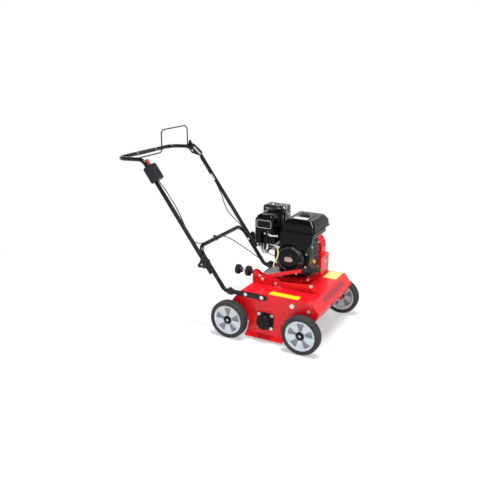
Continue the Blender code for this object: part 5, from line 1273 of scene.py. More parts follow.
class SCARIFIER_OT_depth_lever(bpy.types.Operator):
    """Depth lever with its ribbed grip, and the bar that links it to the front crank"""
    bl_idname = "scarifier.depth_lever"
    bl_label = "Depth lever"

    def execute(self, context):
        low, high = LUG_Y - 0.003, LUG_Y + 0.003
        tilt = math.radians(12.9)
        heading = aim(tilt)
        grip = vec(0.12, 0.26)
        root = LEVER + vec(0, 0.012)
        run = (grip - root).normalized()
        across = vec(-run.y, run.x) * 0.0085
        lever = Shape().slab(hull_of_two(LEVER, 0.022, LINK_PIN + vec(0.002, 0.003), 0.018), low, high, 0.0008)
        stem = [root - across, grip - across, grip + 0.01 * heading - across * 0.6,
            grip + 0.01 * heading + across * 0.6, grip + across, root + across]
        lever.slab(stem, low + 0.0001, high - 0.0001, 0.0008)
        lever.stand("lever_plate", "red", "depth_lever", body="depth_lever")
        pin = Shape().cross(LINK_PIN, LUG_Y - 0.012, high - 0.001, 0.0038, 24)
        pin.turned(mm((0, 0), (7.2, 0), (7.2, 0.9), (0, 0.9)), lift(LINK_PIN, LUG_Y - 0.0088), -AXIS_Y, 32)
        pin.stand("link_pin", "zinc", body="depth_lever")
        profile = mm((0, 0), (9.5, 0), (11.8, 1.5))
        for i in range(12):
            start = 0.008 + 0.0065 * i
            profile += [(0.0119, start), (0.011, start + 0.0009), (0.011, start + 0.0022), (0.0119, start + 0.0031)]
        profile += mm((11.8, 90.5), (10.5, 95), (7, 97.5), (0, 98))
        sleeve = Shape().turned(profile, lift(grip + 0.003 * heading, LUG_Y), (heading.x, 0, heading.y), 40)
        sleeve.stand("lever_sleeve", "rubber", "lever_grip", body="depth_lever")

        far = LUG_Y - 0.0035
        link = Shape().slab(hull_of_two(LINK_PIN, 0.009, LUG_EYE, 0.009), far - 0.005, far, 0.0007,
            holes=[circle(LINK_PIN, 0.0041, 28)])
        link.stand("link_plate", "red", "link_bar", body="link_bar")
        bolt = Shape().bolt(lift(LUG_EYE, far - 0.005), -AXIS_Y, 0.0062, 0.0042)
        bolt.stand("link_bolt", "zinc", body="link_bar")
        return {"FINISHED"}


class SCARIFIER_OT_depth_knobs(bpy.types.Operator):
    """Depth spindle with its fluted knob, and the lock knob on it"""
    bl_idname = "scarifier.depth_knobs"
    bl_label = "Depth knobs"

    def execute(self, context):
        spot = vec(BRACKET_Y, SPINDLE_Z)
        x = -0.239
        knob = Shape().slab(lobes(spot, 0.0265, 0.0011, 12, 144), x - 0.01, x + 0.01, 0.003, 4, axis="X")
        knob.turned(mm((0, 0), (16.5, 0), (16.5, 8), (12.5, 16), (0, 16)), (x + 0.0095, BRACKET_Y, SPINDLE_Z),
            AXIS_X, 40)
        knob.turned(mm((0, 0), (13, 0), (12, 0.9), (0, 1.2)), (x - 0.0099, BRACKET_Y, SPINDLE_Z), -AXIS_X, 40)
        knob.stand("depth_wheel", "knob", "depth_knob", body="depth_knob")
        thread = [(0, 0)]
        for i in range(56):
            start = 0.0015 * i
            thread += [(0.0042, start + 0.0002), (0.0049, start + 0.0009)]
        thread += mm((4.2, 86), (0, 86.8))
        spindle = Shape().turned(thread, (x + 0.0265, BRACKET_Y, SPINDLE_Z), AXIS_X, 24)
        spindle.stand("depth_spindle", "zinc", body="depth_knob")

        x = -0.179
        outline = lobes(spot, 0.0275, 0.0011, 12, 144)
        lock = Shape().slab(outline, x - 0.01, x + 0.01, 0.003, 4, axis="X", holes=[circle(spot, 0.0054, 36)])
        lock.turned(mm((5.4, 0), (13.5, 0), (11.5, 19.5), (10.5, 20), (5.4, 20)),
            (x + 0.0095, BRACKET_Y, SPINDLE_Z), AXIS_X, 40, True)
        lock.stand("lock_wheel", "knob", "lock_knob", body="lock_knob")
        return {"FINISHED"}


# ---- Engine ----

class SCARIFIER_OT_engine_base(bpy.types.Operator):
    """Red plinth and the light plate that the engine is bolted to"""
    bl_idname = "scarifier.engine_base"
    bl_label = "Engine base"

    def execute(self, context):
        plinth = Shape().block((-0.125, -0.03, DECK_TOP + GAP), (0.085, CASE_FAR - 0.002, 0.17), 0.004, 4)
        plinth.stand("plinth", "red", "engine_plinth")
        for name, low, high, surface, nodes in (("base_plate", -0.135, -0.028, "grey", ["engine_plate"]),
                ("base_plate_front", -0.0278, 0.123, "red", [])):
            outline = pad(low, high, -0.022, CASE_FAR - 0.001, 0.006, 6)
            plate = Shape().slab(outline, PLATE_BASE, PLATE_TOP, 0.0006, axis="Z")
            plate.stand(name, surface, *nodes, slot="grey_plate")
        bolts("base_bolts", 0.0052, 0.004, AXIS_Z, [(x, y, PLATE_TOP) for x in (-0.118, 0.112)
            for y in (-0.008, CASE_FAR - 0.014)])
        return {"FINISHED"}


class SCARIFIER_OT_crankcase(bpy.types.Operator):
    """Ribbed crankcase on its mounts, with the tank's saddle and the oil filler"""
    bl_idname = "scarifier.crankcase"
    bl_label = "Crankcase"

    def execute(self, context):
        rear, front = -0.051, 0.119
        seat, tilt = vec(front, CASE_NEAR + 0.022, 0.266), vec(0.93, 0, 0.37).normalized()
        case = Shape().block((rear, CASE_NEAR, 0.198), (front, CASE_FAR, 0.37), 0.014, 5)
        case.block((rear - 0.01, CASE_NEAR + 0.004, 0.188), (front + 0.004, CASE_FAR - 0.002, 0.2), 0.003)
        case.block((0.014, 0.03, 0.35), (0.104, 0.1, 0.4047), 0.004)
        for i in range(7):
            z = 0.214 + 0.021 * i
            case.block((front - 0.004, CASE_NEAR + 0.04, z), (front + 0.0035, CASE_FAR - 0.014, z + 0.0032), 0.001,
                2)
        for i in range(5):
            x = rear + 0.022 + 0.026 * i
            case.block((x, CASE_FAR - 0.004, 0.212), (x + 0.003, CASE_FAR + 0.0015, 0.352), 0.001, 2)
        case.turned(mm((19, 0), (19, 3.5), (17.5, 5), (10.5, 5), (10.5, 0)),
            (ENGINE_SHAFT.x, CASE_FAR - 0.001, ENGINE_SHAFT.y), AXIS_Y, 40, True)
        case.turned(mm((0, 0), (14, 0), (14.5, 2), (14.5, 4.5), (12.5, 6.2), (0, 6.2)), seat - vec(0.0005, 0, 0),
            tilt, 40)
        case.block((rear - 0.002, CASE_NEAR + 0.002, 0.352), (0.011, 0.112, 0.438), 0.008, 4)
        case.stand("engine_block", "case", "crankcase")
        feet, heads = Shape(), Shape()
        for x in (rear + 0.006, front - 0.012):
            for y in (CASE_NEAR + 0.017, CASE_FAR - 0.016):
                feet.turned(mm((0, 0), (10.5, 0), (11, 2), (9.5, 6), (11, 10), (10.5, 13.7), (0, 13.7)),
                    (x, y, PLATE_TOP + GAP), AXIS_Z, 32)
                heads.bolt((x, y, 0.2), AXIS_Z, 0.0048, 0.004)
        for y, z in ((0.018, 0.225), (0.018, 0.345), (0.106, 0.215), (0.106, 0.35)):
            heads.bolt((front, y, z), AXIS_X, 0.0042, 0.0035)
        feet.stand("engine_mounts", "red")
        heads.stand("engine_bolts", "zinc")
        place = seat + 0.006 * tilt
        filler = Shape().turned(mm((0, 0), (11.5, 0), (12, 1.2), (12, 5), (10.5, 6.8), (5, 7.5), (0, 7.5)), place,
            tilt, 48, notch=lambda i, k: -0.001 if i in (2, 3) and k % 4 == 0 else 0.0)
        filler.block(place + 0.0062 * tilt + vec(-0.002, -0.0085, -0.0016),
            place + 0.0062 * tilt + vec(0.0045, 0.0085, 0.0026), 0.0012)
        filler.stand("filler_plug", "yellow", "oil_filler")
        return {"FINISHED"}


class SCARIFIER_OT_cylinder(bpy.types.Operator):
    """Finned barrel, head and valve cover, with the spark plug's cap and lead"""
    bl_idname = "scarifier.cylinder"
    bl_label = "Cylinder"

    def execute(self, context):
        tilt = math.radians(16)
        run = vec(-math.cos(tilt), math.sin(tilt))
        rise = vec(run.y, -run.x)
        y = CYLINDER_Y

        def box(start, end, low, high):
            return [ENGINE_SHAFT + a * run + b * rise for a, b in rectangle(start, end, low, high)]

        barrel = Shape().slab(box(0.055, 0.1, -0.041, 0.041), y - 0.041, y + 0.041, 0.003)
        barrel.slab(box(0.095, 0.168, -0.031, 0.031), y - 0.0405, y + 0.0405, 0.003)
        for i in range(8):
            start = 0.1015 + 0.0088 * i
            barrel.slab(rounded(box(start, start + 0.0042, -0.041, 0.041), 0.0015, 2), y - 0.041, y + 0.041, 0.0006)
        barrel.block((-0.118, y + 0.001, 0.35), (-0.092, y + 0.034, 0.392), 0.003)
        barrel.stand("finned_barrel", "alloy", "cylinder")
        cover = Shape().slab(rounded(box(0.168, 0.1868, -0.034, 0.034), 0.005, 4), y - 0.034, y + 0.034, 0.004, 4)
        cover.slab(rounded(box(0.1665, 0.1705, -0.036, 0.036), 0.001, 2), y - 0.036, y + 0.036, 0.0008)
        cover.stand("valve_cover", "case")
        bolts("cover_bolts", 0.0038, 0.003, lift(run, 0), [lift(ENGINE_SHAFT + 0.1868 * run + up * rise, y + side)
            - 0.0006 * lift(run, 0) for up in (-0.024, 0.024) for side in (-0.024, 0.024)])
        spot = ENGINE_SHAFT + 0.158 * run
        side = y + 0.0415
        cap = Shape().turned(mm((0, 0), (7.8, 0), (8, 1), (7.2, 4), (8, 6), (7.2, 9), (8, 12), (7.8, 26),
            (6.2, 29.5), (0, 30)), lift(spot, side), AXIS_Y, 36)
        lead = [(spot.x, side + 0.022, spot.y), (spot.x + 0.012, side + 0.0265, spot.y + 0.003),
            (spot.x + 0.026, side + 0.027, spot.y + 0.003), (spot.x + 0.04, side + 0.022, spot.y - 0.004),
            (spot.x + 0.052, side + 0.012, spot.y - 0.014), (spot.x + 0.062, side - 0.004, spot.y - 0.022)]
        cap.pipe(smooth(lead, 6), 0.0034, 16)
        cap.bar(Vector(lead[0]), Vector(lead[2]), 0.005, 20, 0.0015)
        cap.stand("plug_cap", "rubber", "spark_plug_cap")
        return {"FINISHED"}


def smooth(points, count):
    """A smooth curve through the points, with count steps between each two."""
    points = [Vector(point) for point in points]
    padded = [2 * points[0] - points[1], *points, 2 * points[-1] - points[-2]]
    route = []
    for a, b, c, d in zip(padded, padded[1:], padded[2:], padded[3:]):
        for k in range(count):
            t = k / count
            route.append(0.5 * (2 * b + (c - a) * t + (2 * a - 5 * b + 4 * c - d) * t * t
                + (3 * b - a - 3 * c + d) * t ** 3))
    return route + [points[-1]]


class SCARIFIER_OT_blower(bpy.types.Operator):
    """Blower housing and the slotted recoil cover, with the starter's grip"""
    bl_idname = "scarifier.blower"
    bl_label = "Blower and starter"

    def execute(self, context):
        shaft = lift(ENGINE_SHAFT, CASE_NEAR - GAP)
        profile = mm((90, 0), (94, 0), (98, 4), (98, 12), (97.2, 12.8), (97.2, 14.5), (98, 15.3), (98, 42.5),
            (96.8, 47.8), (94, 51.8), (89.5, 54), (84, 54.7), (60, 54.7), (0, 54.7))
        housing = Shape().turned(profile, shaft, -AXIS_Y, 96)
        spots = [ENGINE_SHAFT + 0.0885 * aim(math.radians(degrees)) for degrees in (205, 250, 290, 335, 20)]
        for spot in spots:
            housing.cross(spot, CASE_NEAR - 0.04, CASE_NEAR - 0.056, 0.0065, 28, 0.001)
        housing.stand("blower_shell", "engine", "blower_housing")
        bolts("blower_screws", 0.0038, 0.0026, -AXIS_Y, [lift(spot, CASE_NEAR - 0.056) for spot in spots])

        seat = lift(ENGINE_SHAFT, BLOWER_FACE - GAP)
        cover = Shape().turned(mm((72.5, 0), (78, 0), (78, 10), (77, 12.5), (75, 13), (72.5, 12.5)), seat, -AXIS_Y,
            112, True)
        cover.turned(mm((0, 34.6), (24, 34.4), (25.2, 33), (26.8, 32.8), (28.5, 34), (40, 33.4), (50, 31.8),
            (54.5, 30), (56.8, 26.8), (57.2, 10), (0, 10)), seat, -AXIS_Y, 96)
        # Ribbed ring of the starter cover, in a lighter grey whose sheen is partly painted
        ribs = Shape().turned(mm((57.2, 28.5), (58.5, 30.2), (61, 30), (64, 28), (69, 22.8), (74.5, 16.4),
            (74.5, 9), (57.2, 9)), seat, -AXIS_Y, 160, True,
            notch=lambda i, k: -0.0085 if i in (3, 4, 5) and k % 4 < 2 else 0.0)
        ribs.stand("starter_ribs", "ribs")
        across = aim(math.radians(23))
        pull = vec(-across.y, across.x)
        spot = vec(GUIDE.x, GUIDE.z) - 0.0073 * pull
        guide = [spot - 0.008 * across, spot - 0.008 * across - 0.014 * pull, spot + 0.008 * across - 0.014 * pull,
            spot + 0.008 * across]
        cover.slab(guide, GUIDE.y - 0.005, BLOWER_FACE - 0.018, 0.002, 3)
        cover.stand("starter_cover", "engine", "recoil_cover")
        badge = Shape().slab(stadium(ENGINE_SHAFT, 0.0125, 0.046, 1), seat.y - 0.0346 - SKIN, seat.y - 0.0344)
        badge.stand("blank_plate", "plate")
        drum = Shape().turned(mm((0, 10), (72.5, 10), (72.5, 12), (0, 12)), seat, -AXIS_Y, 48)
        drum.stand("starter_inside", "dark")

        half = lift(0.015 * across, 0)
        grip = Shape().pipe([GUIDE - half * (1 - 0.1 * k) for k in range(21)], 0.007, 28,
            lambda t: 0.72 + 0.28 * math.sin(math.pi * min(1, max(0, (t if t < 0.5 else 1 - t) * 4 + 0.12)) / 2)
            - 0.08 * math.exp(-((t - 0.5) / 0.12) ** 2))
        grip.stand("pull_grip", "knob", "starter_grip", body="starter_grip")
        return {"FINISHED"}


class SCARIFIER_OT_shroud(bpy.types.Operator):
    """Lower panel below the tank, scalloped round the starter cover"""
    bl_idname = "scarifier.shroud"
    bl_label = "Shroud panel"

    def execute(self, context):
        low, high = TANK_LOW.x - 0.008, TANK_HIGH.x - 0.005
        outline = rounded([(low + 0.01, 0.35), (high - 0.042, 0.35), (high - 0.012, 0.385),
            (high, TANK_SEAM - 0.005), (low, TANK_SEAM - 0.005), (low, 0.372)], 0.009, 6)
        panel = Shape().slab(outline, TANK_LOW.y + 0.005, BLOWER_FACE - GAP, 0.004, 4)
        panel.carve(Shape().cross(ENGINE_SHAFT, -0.2, 0.1, RECOIL_R + 0.0006, 96))
        panel.stand("shroud", "engine", "shroud_panel")
        return {"FINISHED"}


class SCARIFIER_OT_tank(bpy.types.Operator):
    """Fuel tank with its seam flange, raised top and fluted cap"""
    bl_idname = "scarifier.tank"
    bl_label = "Fuel tank"

    def execute(self, context):
        low, high = TANK_LOW, TANK_HIGH
        lower = Shape().block((low.x + 0.012, -0.045, low.z), (high.x - 0.013, high.y - 0.012, TANK_SEAM + 0.001),
            0.01, 5)
        lower.slab(pad(low.x - 0.004, high.x + 0.004, low.y - 0.004, high.y + 0.004, 0.018, 8), TANK_SEAM - 0.0015,
            TANK_SEAM + 0.002, 0.0012, 3, axis="Z")
        base, crease, top = TANK_SEAM - 0.001, 0.478, high.z
        rings = []
        for z, pinch in ((base, 0.0), (crease, 0.003), (top - 0.001, 0.021), (top, 0.023)):
            loop = pad(low.x + pinch, high.x - pinch, low.y + pinch, high.y - pinch, 0.014, 6)
            rings.append([lower.mesh.verts.new((*point, z)) for point in loop])
        for first, second in zip(rings, rings[1:]):
            for k in range(len(first)):
                lower.mesh.faces.new((first[k - 1], first[k], second[k], second[k - 1]))
        lower.mesh.faces.new(rings[0][::-1])
        lower.mesh.faces.new(rings[-1])
        lower.slab(pad(0.031, 0.118, -0.052, 0.078, 0.008, 6), top - 0.004, top + 0.002, 0.0014, 3, axis="Z")
        patch = Shape().slab(pad(0.036, 0.113, -0.049, -0.01, 0.003, 4), top + 0.0018, top + 0.002 + SKIN, axis="Z")
        patch.stand("tank_patch", "pale")
        lower.stand("tank", "engine", "fuel_tank")
        centre = vec(0.074, 0.02, top + GAP)
        cap = Shape().turned(mm((0, 0), (23.8, 0), (24, 1.2), (24, 8.5), (22.5, 11.2), (19, 12.2), (17.5, 11.2),
            (0, 11.2)), centre, AXIS_Z, 96, notch=lambda i, k: -0.0011 if i in (2, 3, 4) and k % 4 < 2 else 0.0)
        cap.block(centre + vec(-0.0165, -0.0032, 0.0105), centre + vec(0.0165, 0.0032, 0.013), 0.001)
        cap.stand("tank_cap", "knob", "fuel_cap", body="fuel_cap")
        return {"FINISHED"}


class SCARIFIER_OT_intake(bpy.types.Operator):
    """Air cleaner with its framed panel, carburettor, linkage and choke lever"""
    bl_idname = "scarifier.intake"
    bl_label = "Intake"

    def execute(self, context):
        near, far = TANK_LOW.y, CASE_NEAR - GAP
        rear, front, shoulder = -0.16, -0.057, 0.44
        cover = Shape().block((rear, near, 0.353), (front, far, 0.49), 0.008, 5)
        cover.block((rear, near, shoulder), (front, far, 0.5079), 0.024, 7)
        cover.carve(Shape().slab(pad(rear + 0.01, front - 0.01, shoulder, 0.483, 0.008, 6), near - 0.01,
            near + 0.0016))
        cover.carve(Shape().block((-0.125, near - 0.01, 0.34), (-0.05, near + 0.022, 0.424), 0.003))
        cover.block((-0.122, near + 0.012, 0.4985), (-0.094, near + 0.03, 0.5086), 0.003)
        cover.stand("filter_cover", "engine", "air_cleaner_cover")
        outer = pad(-0.1498, -0.0672, 0.4402, 0.4828, 0.008, 8)
        inner = pad(-0.1465, -0.0705, 0.4435, 0.4795, 0.006, 8)
        frame = Shape().slab(outer, near - GAP, near + 0.0015, 0.0005, holes=[inner])
        frame.stand("filter_frame", "alloy", slot="engine_plastic")
        panel = Shape().slab(inner, near + 0.0004, near + 0.0015, 0.0002)
        panel.stand("filter_panel", "engine_matt", slot="engine_plastic")
        detail = Shape()
        for x in (-0.122, -0.078):
            detail.turned(mm((0, 0), (8.5, 0), (8.5, 2.8), (7, 4.2), (0, 4.2)), (x, near + 0.024, 0.371), -AXIS_Y,
                36, notch=lambda i, k: -0.0008 if i in (1, 2) and k % 3 == 0 else 0)
        detail.block((-0.104, near + 0.01, 0.384), (-0.09, near + 0.024, 0.412), 0.002)
        detail.stand("filter_details", "engine", slot="black_plastic")

        base = Shape().block((-0.152, CASE_NEAR, 0.356), (-0.054, BARREL_NEAR, 0.5), 0.003)
        base.block((-0.142, CASE_NEAR + 0.0002, 0.3503), (-0.11, BARREL_NEAR, 0.362), 0.002)
        base.stand("filter_base", "engine_matt", "air_cleaner_base")

        body = Shape().block((-0.15, -0.03, 0.305), (-0.102, BARREL_NEAR, 0.35), 0.004, 4)
        bowl = Shape().turned(mm((0, 0), (15, 0), (18.5, 2), (19.5, 5), (19.5, 15), (20.2, 16), (20.2, 22),
            (0, 22)), (-0.131, -0.01, 0.287), AXIS_Z, 40)
        for x in (-0.1485, -0.1365):
            bowl.block((x, -0.0335, 0.308), (x + 0.006, -0.028, 0.341), 0.0015)
        bowl.stand("float_bowl", "alloy")
        body.bar((-0.154, -0.01, 0.327), (-0.148, -0.01, 0.327), 0.009, 32)
        body.bar((-0.104, -0.012, 0.33), (-0.094, -0.012, 0.33), 0.011, 32, 0.001)
        body.stand("carburettor_body", "case", "carburettor", slot="alloy")
        linkage = Shape()
        linkage.pipe(smooth(mm((-110, -36, 318), (-90, -40, 330), (-65, -46, 337), (-30, -53.5, 341)), 6), 0.0012,
            10)
        linkage.pipe(smooth(mm((-142, -35.2, 344), (-112, -39, 349.5), (-80, -47, 349), (-48, -52.5, 345)), 6),
            0.0011, 10)
        for x, z, radius, end_x, end_z, end_radius, near, far in mm((-110, 318, 5.5, -106, 341, 4, -37.5, -35.7),
                (-48, 345, 6, -28, 341, 6, -54.5, -52.5), (-98, 355.5, 4, -44, 347.5, 3, -56, -54.5),
                (-110, 410, 3.5, -74, 405, 4.5, -69, -67), (-82, 400, 3.5, -40, 404, 4.5, -65, -63)):
            linkage.slab(hull_of_two(vec(x, z), radius, vec(end_x, end_z), end_radius), near, far, 0.0003)
        linkage.bolt((-0.0895, -0.0695, 0.425), -AXIS_Y, 0.0045, 0.004)
        linkage.bolt((-0.131, -0.01, 0.287), -AXIS_Z, 0.0045, 0.004)
        linkage.stand("linkage", "zinc")
        ribbon = smooth(mm((-30, 0, 357), (-22.5, 0, 340), (-20, 0, 320), (-23, 0, 300), (-32, 0, 280),
            (-42, 0, 262), (-45, 0, 240)), 4)
        ribbon = [vec(point.x, point.z) for point in ribbon]
        tag = Shape().slab(ribbon + offset(ribbon, 0.008)[::-1], BLOWER_FACE - 0.034, BLOWER_FACE - 0.033, 0.0003)
        tag.stand("blank_ribbon", "cream")
        spot = vec(-0.138, 0.332)
        lever = Shape().slab(hull_of_two(spot, 0.005, spot + vec(-0.02, 0.002), 0.004), -0.0345, -0.0303, 0.0006)
        lever.cross(spot + vec(-0.02, 0.002), -0.033, -0.04, 0.004, 24, 0.001)
        lever.stand("choke_tab", "knob", "choke_lever", body="choke_lever")
        return {"FINISHED"}


class SCARIFIER_OT_exhaust(bpy.types.Operator):
    """Muffler under its perforated guard"""
    bl_idname = "scarifier.exhaust"
    bl_label = "Exhaust"

    def execute(self, context):
        low, high = vec(-0.173, 0.035, 0.445), vec(-0.045, 0.12, 0.532)
        muffler = Shape().block((low.x + 0.009, low.y + 0.008, 0.4043),
            (high.x - 0.009, high.y - 0.008, high.z - 0.01), 0.012, 5)
        muffler.block((-0.116, CYLINDER_Y + 0.003, 0.3923), (-0.094, CYLINDER_Y + 0.032, 0.4223), 0.002)
        muffler.slab(pad(low.x + 0.0075, high.x - 0.0075, low.y + 0.0065, high.y - 0.0065, 0.013, 6), 0.462, 0.465,
            0.0008, axis="Z")
        muffler.stand("silencer", "hot_steel", "muffler")

        guard = Shape().block(low, high, 0.012, 5)
        guard.carve(Shape().block(low + vec(0.0018, 0.0018, -0.02), high - vec(0.0018, 0.0018, 0.0018), 0.0105, 5))
        tools = Shape()
        middle = (low + high) / 2

        def slots(rows, first, rise, count, centre, pitch, radius, length, start, end, axis):
            """Staggered rows of slots through the guard's walls."""
            for row in range(rows):
                odd = row % 2
                for i in range(count + odd):
                    place = vec(centre + (i - (count - 1 + odd) / 2) * pitch, first + rise * row)
                    tools.slab(stadium(place, radius, length), start, end, axis=axis)

        pitch = setting("sizes").guard_pitch
        count = int((high.x - low.x - 0.028) / pitch)
        slots(4, low.z + 0.016, 0.0165, count, middle.x, pitch, 0.0028, 0.0105, low.y - 0.01, high.y + 0.01, "Y")
        slots(4, low.z + 0.016, 0.0165, 4, middle.y, 0.0135, 0.0028, 0.0105, low.x - 0.01, high.x + 0.01, "X")
        slots(5, low.y + 0.0145, 0.014, count - 1, middle.x, pitch, 0.0026, 0.0095, high.z - 0.004, high.z + 0.01,
            "Z")
        guard.carve(tools)
        stays = (low.x + 0.04, high.x - 0.04)
        for x in stays:
            guard.bar((x, middle.y, high.z - 0.0097), (x, middle.y, high.z - 0.001), 0.0045, 20)
        guard.stand("silencer_guard", "guard", "muffler_guard", sharp=40)
        bolts("guard_bolts", 0.0042, 0.0006, AXIS_Z, [(x, middle.y, high.z - 0.0006) for x in stays])
        return {"FINISHED"}


def stadium(centre, radius, length, lying=0):
    """A slot's outline, upright or lying."""
    half = vec(-lying, 1 - lying) * (length / 2 - radius)
    turn = lying * math.pi / 2
    return (arc(centre + half, radius, turn, turn + math.pi, 6)
        + arc(centre - half, radius, turn + math.pi, turn + math.tau, 6))


# ---- Cables ----

THROTTLE_START = leg_spot(BOX_PLACE[0] - BOX_HALF - GAP, 0.006)
THROTTLE_Y = -UPPER_LEG_Y + 0.0175
THROTTLE_ROUTE = [
    lift(THROTTLE_START, THROTTLE_Y), lift(THROTTLE_START - 0.015 * LEG, THROTTLE_Y), *mm(
        (-599, -234, 617), (-566, -232, 568), (-534, -231, 523.5), (-499, -231, 458.5), (-474, -229, 407.5),
        (-453, -226, 372), (-428, -218, 353), (-400, -200, 350), (-394.8, -139, 349), (-395, -72, 350.5),
        (-391.5, -30, 344.5), (-383, 20, 327), (-355.2, 40, 308), (-316.7, 50, 285.1), (-269.5, 55, 259.2),
        (-226.2, 55, 237.2), (-180.7, 50, 220.2), (-139.4, 40, 207.3), (-105, 30, 203.5), (-75, 28, 211),
        (-51.3, 28, 213))]
CLUTCH_START = leg_spot(0.397, 0.005)
CLUTCH_ROUTE = [
    lift(CLUTCH_START, CLUTCH_Y), lift(CLUTCH_START - 0.012 * LEG, CLUTCH_Y), *mm(
        (-556, 231, 541), (-532, 229, 497.6), (-512, 225, 449), (-485, 220, 409.5), (-431, 212, 370.5),
        (-388, 205, 342), (-352.5, 200, 312.6), (-304.6, 197, 273), (-250.7, 196, 229), (-190, 196, 202),
        (-120, 197, 194), (-75, 198, 193), (-48.3, 198, 193))]
CABLE_R = 0.0025


class SCARIFIER_OT_cables(bpy.types.Operator):
    """Throttle and clutch cables from the handle down to the engine and the idler"""
    bl_idname = "scarifier.cables"
    bl_label = "Cables"

    def execute(self, context):
        for name, points, node in (("throttle_wire", THROTTLE_ROUTE, "throttle_cable"),
                ("clutch_wire", CLUTCH_ROUTE, "clutch_cable")):
            route = smooth(points, 6)
            cable = Shape().pipe(route, CABLE_R, 16)
            piece = cable.stand(name, "cable", node, body=None)
            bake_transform(piece)
            world = [point + ORIGIN for point in route]
            sum((b - a).length for a, b in zip(world, world[1:]))
        return {"FINISHED"}


# ---- Studio ----

LAMPS = (("key", (0.7, -0.4, 3.6), 1.5, 148), ("front", (2.2, -1.5, 2.5), 0.9, 18),
         ("rear", (-2.6, 2.2, 2.6), 0.9, 26), ("near", (1.9, -3.0, 0.75), 1.0, 16))     # place, width, watts
LAMP_AIM = vec(0, 0, 0.35)
FLOOR_REACH = 14.0
EYE_PLACE = vec(1.23194, -2.80691, 1.3222)     # in machine coordinates
EYE_AZIMUTH, EYE_RISE = 28.4614, 17.2849        # degrees round and above the machine


class SCARIFIER_OT_studio(bpy.types.Operator):
    """Pale floor, soft lamps and the camera"""
    bl_idname = "scarifier.studio"
    bl_label = "Studio"

    def execute(self, context):
        scene = context.scene
        studio = setting("studio")
        surface = Surface("studio_floor")
        mottle = surface.noise(0.8, 2)
        base = surface.mix(mottle, shade(tuple(studio.floor), 0.985), shade(tuple(studio.floor), 1.0))
        away = surface.node("ShaderNodeVectorMath", {"operation": "LENGTH"}, {0: surface.place}, "Value")
        fade = away.step(0.7, 2.0)
        surface.node("ShaderNodeOutputMaterial", {}, {"Surface": surface.blend(
            fade * surface.seen("Camera", "Glossy", "Transmission") + (1 - fade) * 0.45 * surface.seen("Camera"),
            surface.principled(Base_Color=base, Roughness=0.6), surface.glow("ShaderNodeEmission", 1.0))})
        floor_mesh = bpy.data.meshes.new("floor")
        corners = rectangle(-FLOOR_REACH, FLOOR_REACH, -FLOOR_REACH, FLOOR_REACH)
        floor_mesh.from_pydata([(*corner, 0) for corner in corners], [], [(0, 1, 2, 3)])
        floor_mesh.materials.append(surface.material)
        floor = bpy.data.objects.new("floor", floor_mesh)
        scene.collection.objects.link(floor)

        sky = Surface("studio_sky", sky=True)
        height = sky.node("ShaderNodeSeparateXYZ", {}, {0: sky.place}, "Z")
        white, dim, dark = (sky.glow("ShaderNodeBackground", level) for level in (1.0, 0.31 * studio.level, 0.12))
        backdrop = sky.blend(height.step(0.3, 0.6) * sky.seen("Glossy"), white, dark)
        sky.node("ShaderNodeOutputWorld", {}, {"Surface": sky.blend(
            sky.seen("Camera", "Glossy", "Transmission"), dim, backdrop)})
        scene.world = sky.material

        for name, place, width, power in LAMPS:
            lamp = bpy.data.lights.new(name, "AREA")
            lamp.shape = "DISK"
            lamp.size = width
            lamp.energy = power * studio.level
            holder = bpy.data.objects.new(name, lamp)
            holder.location = place
            holder.rotation_euler = (LAMP_AIM - Vector(place)).to_track_quat("-Z", "Y").to_euler()
            scene.collection.objects.link(holder)

        camera = bpy.data.cameras.new("camera")
        camera.sensor_width = 36
        camera.lens = studio.lens
        camera.clip_end = 60
        eye = bpy.data.objects.new("camera", camera)
        azimuth, rise = math.radians(EYE_AZIMUTH), math.radians(EYE_RISE)
        back = vec(math.sin(azimuth) * math.cos(rise), -math.cos(azimuth) * math.cos(rise), math.sin(rise))
        eye.location = EYE_PLACE + ORIGIN
        eye.rotation_euler = (-back).to_track_quat("-Z", "Y").to_euler()
        scene.collection.objects.link(eye)
        scene.camera = eye
        scene.view_settings.view_transform = "Standard"
        return {"FINISHED"}


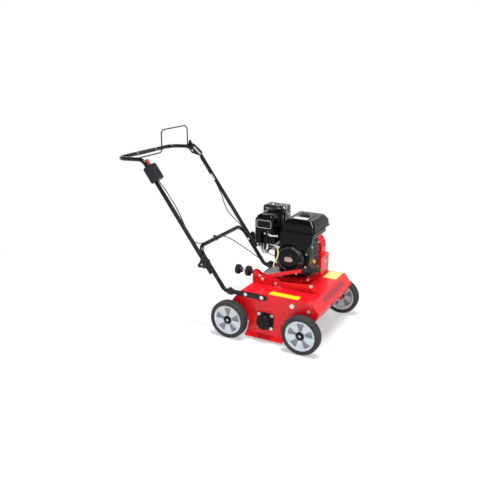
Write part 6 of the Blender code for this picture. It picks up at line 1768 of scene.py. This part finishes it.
GROUPS = {"colours": ScarifierColours, "sizes": ScarifierSizes, "studio": ScarifierStudio}
OPERATORS = (
    SCARIFIER_OT_studio, SCARIFIER_OT_cables, SCARIFIER_OT_deck, SCARIFIER_OT_skirts, SCARIFIER_OT_flap,
    SCARIFIER_OT_axles, SCARIFIER_OT_wheels, SCARIFIER_OT_bearing, SCARIFIER_OT_rotor, SCARIFIER_OT_drive,
    SCARIFIER_OT_belt_guard, SCARIFIER_OT_films, SCARIFIER_OT_handle_brackets, SCARIFIER_OT_lower_handle,
    SCARIFIER_OT_upper_handle, SCARIFIER_OT_star_knobs, SCARIFIER_OT_bail, SCARIFIER_OT_controls,
    SCARIFIER_OT_front_crank, SCARIFIER_OT_lever_bracket, SCARIFIER_OT_depth_lever, SCARIFIER_OT_depth_knobs,
    SCARIFIER_OT_engine_base, SCARIFIER_OT_crankcase, SCARIFIER_OT_cylinder, SCARIFIER_OT_blower,
    SCARIFIER_OT_shroud, SCARIFIER_OT_tank, SCARIFIER_OT_intake, SCARIFIER_OT_exhaust)


class SCARIFIER_PT_looks(bpy.types.Panel):
    """Settings and makers of the scarifier's pieces"""
    bl_label = "Petrol Scarifier"
    bl_idname = "SCARIFIER_PT_looks"
    bl_space_type = "VIEW_3D"
    bl_region_type = "UI"
    bl_category = "Scarifier"

    def draw(self, context):
        for name, group in GROUPS.items():
            box = self.layout.box()
            for setting_name in group.__annotations__:
                box.prop(setting(name), setting_name)
        for operator in OPERATORS:
            self.layout.operator(operator.bl_idname)


def register():
    for name, group in GROUPS.items():
        bpy.utils.register_class(group)
        setattr(bpy.types.Scene, "scarifier_" + name, bpy.props.PointerProperty(type=group))
    for made in (*OPERATORS, SCARIFIER_PT_looks):
        bpy.utils.register_class(made)


def unregister():
    for made in (SCARIFIER_PT_looks, *reversed(OPERATORS)):
        bpy.utils.unregister_class(made)
    for name, group in reversed(GROUPS.items()):
        delattr(bpy.types.Scene, "scarifier_" + name)
        bpy.utils.unregister_class(group)


def main():
    """Makes every piece around the frame."""
    register()
    for operator in OPERATORS:
        group, name = operator.bl_idname.split(".")
        getattr(getattr(bpy.ops, group), name)()


if __name__ == "__main__":
    main()
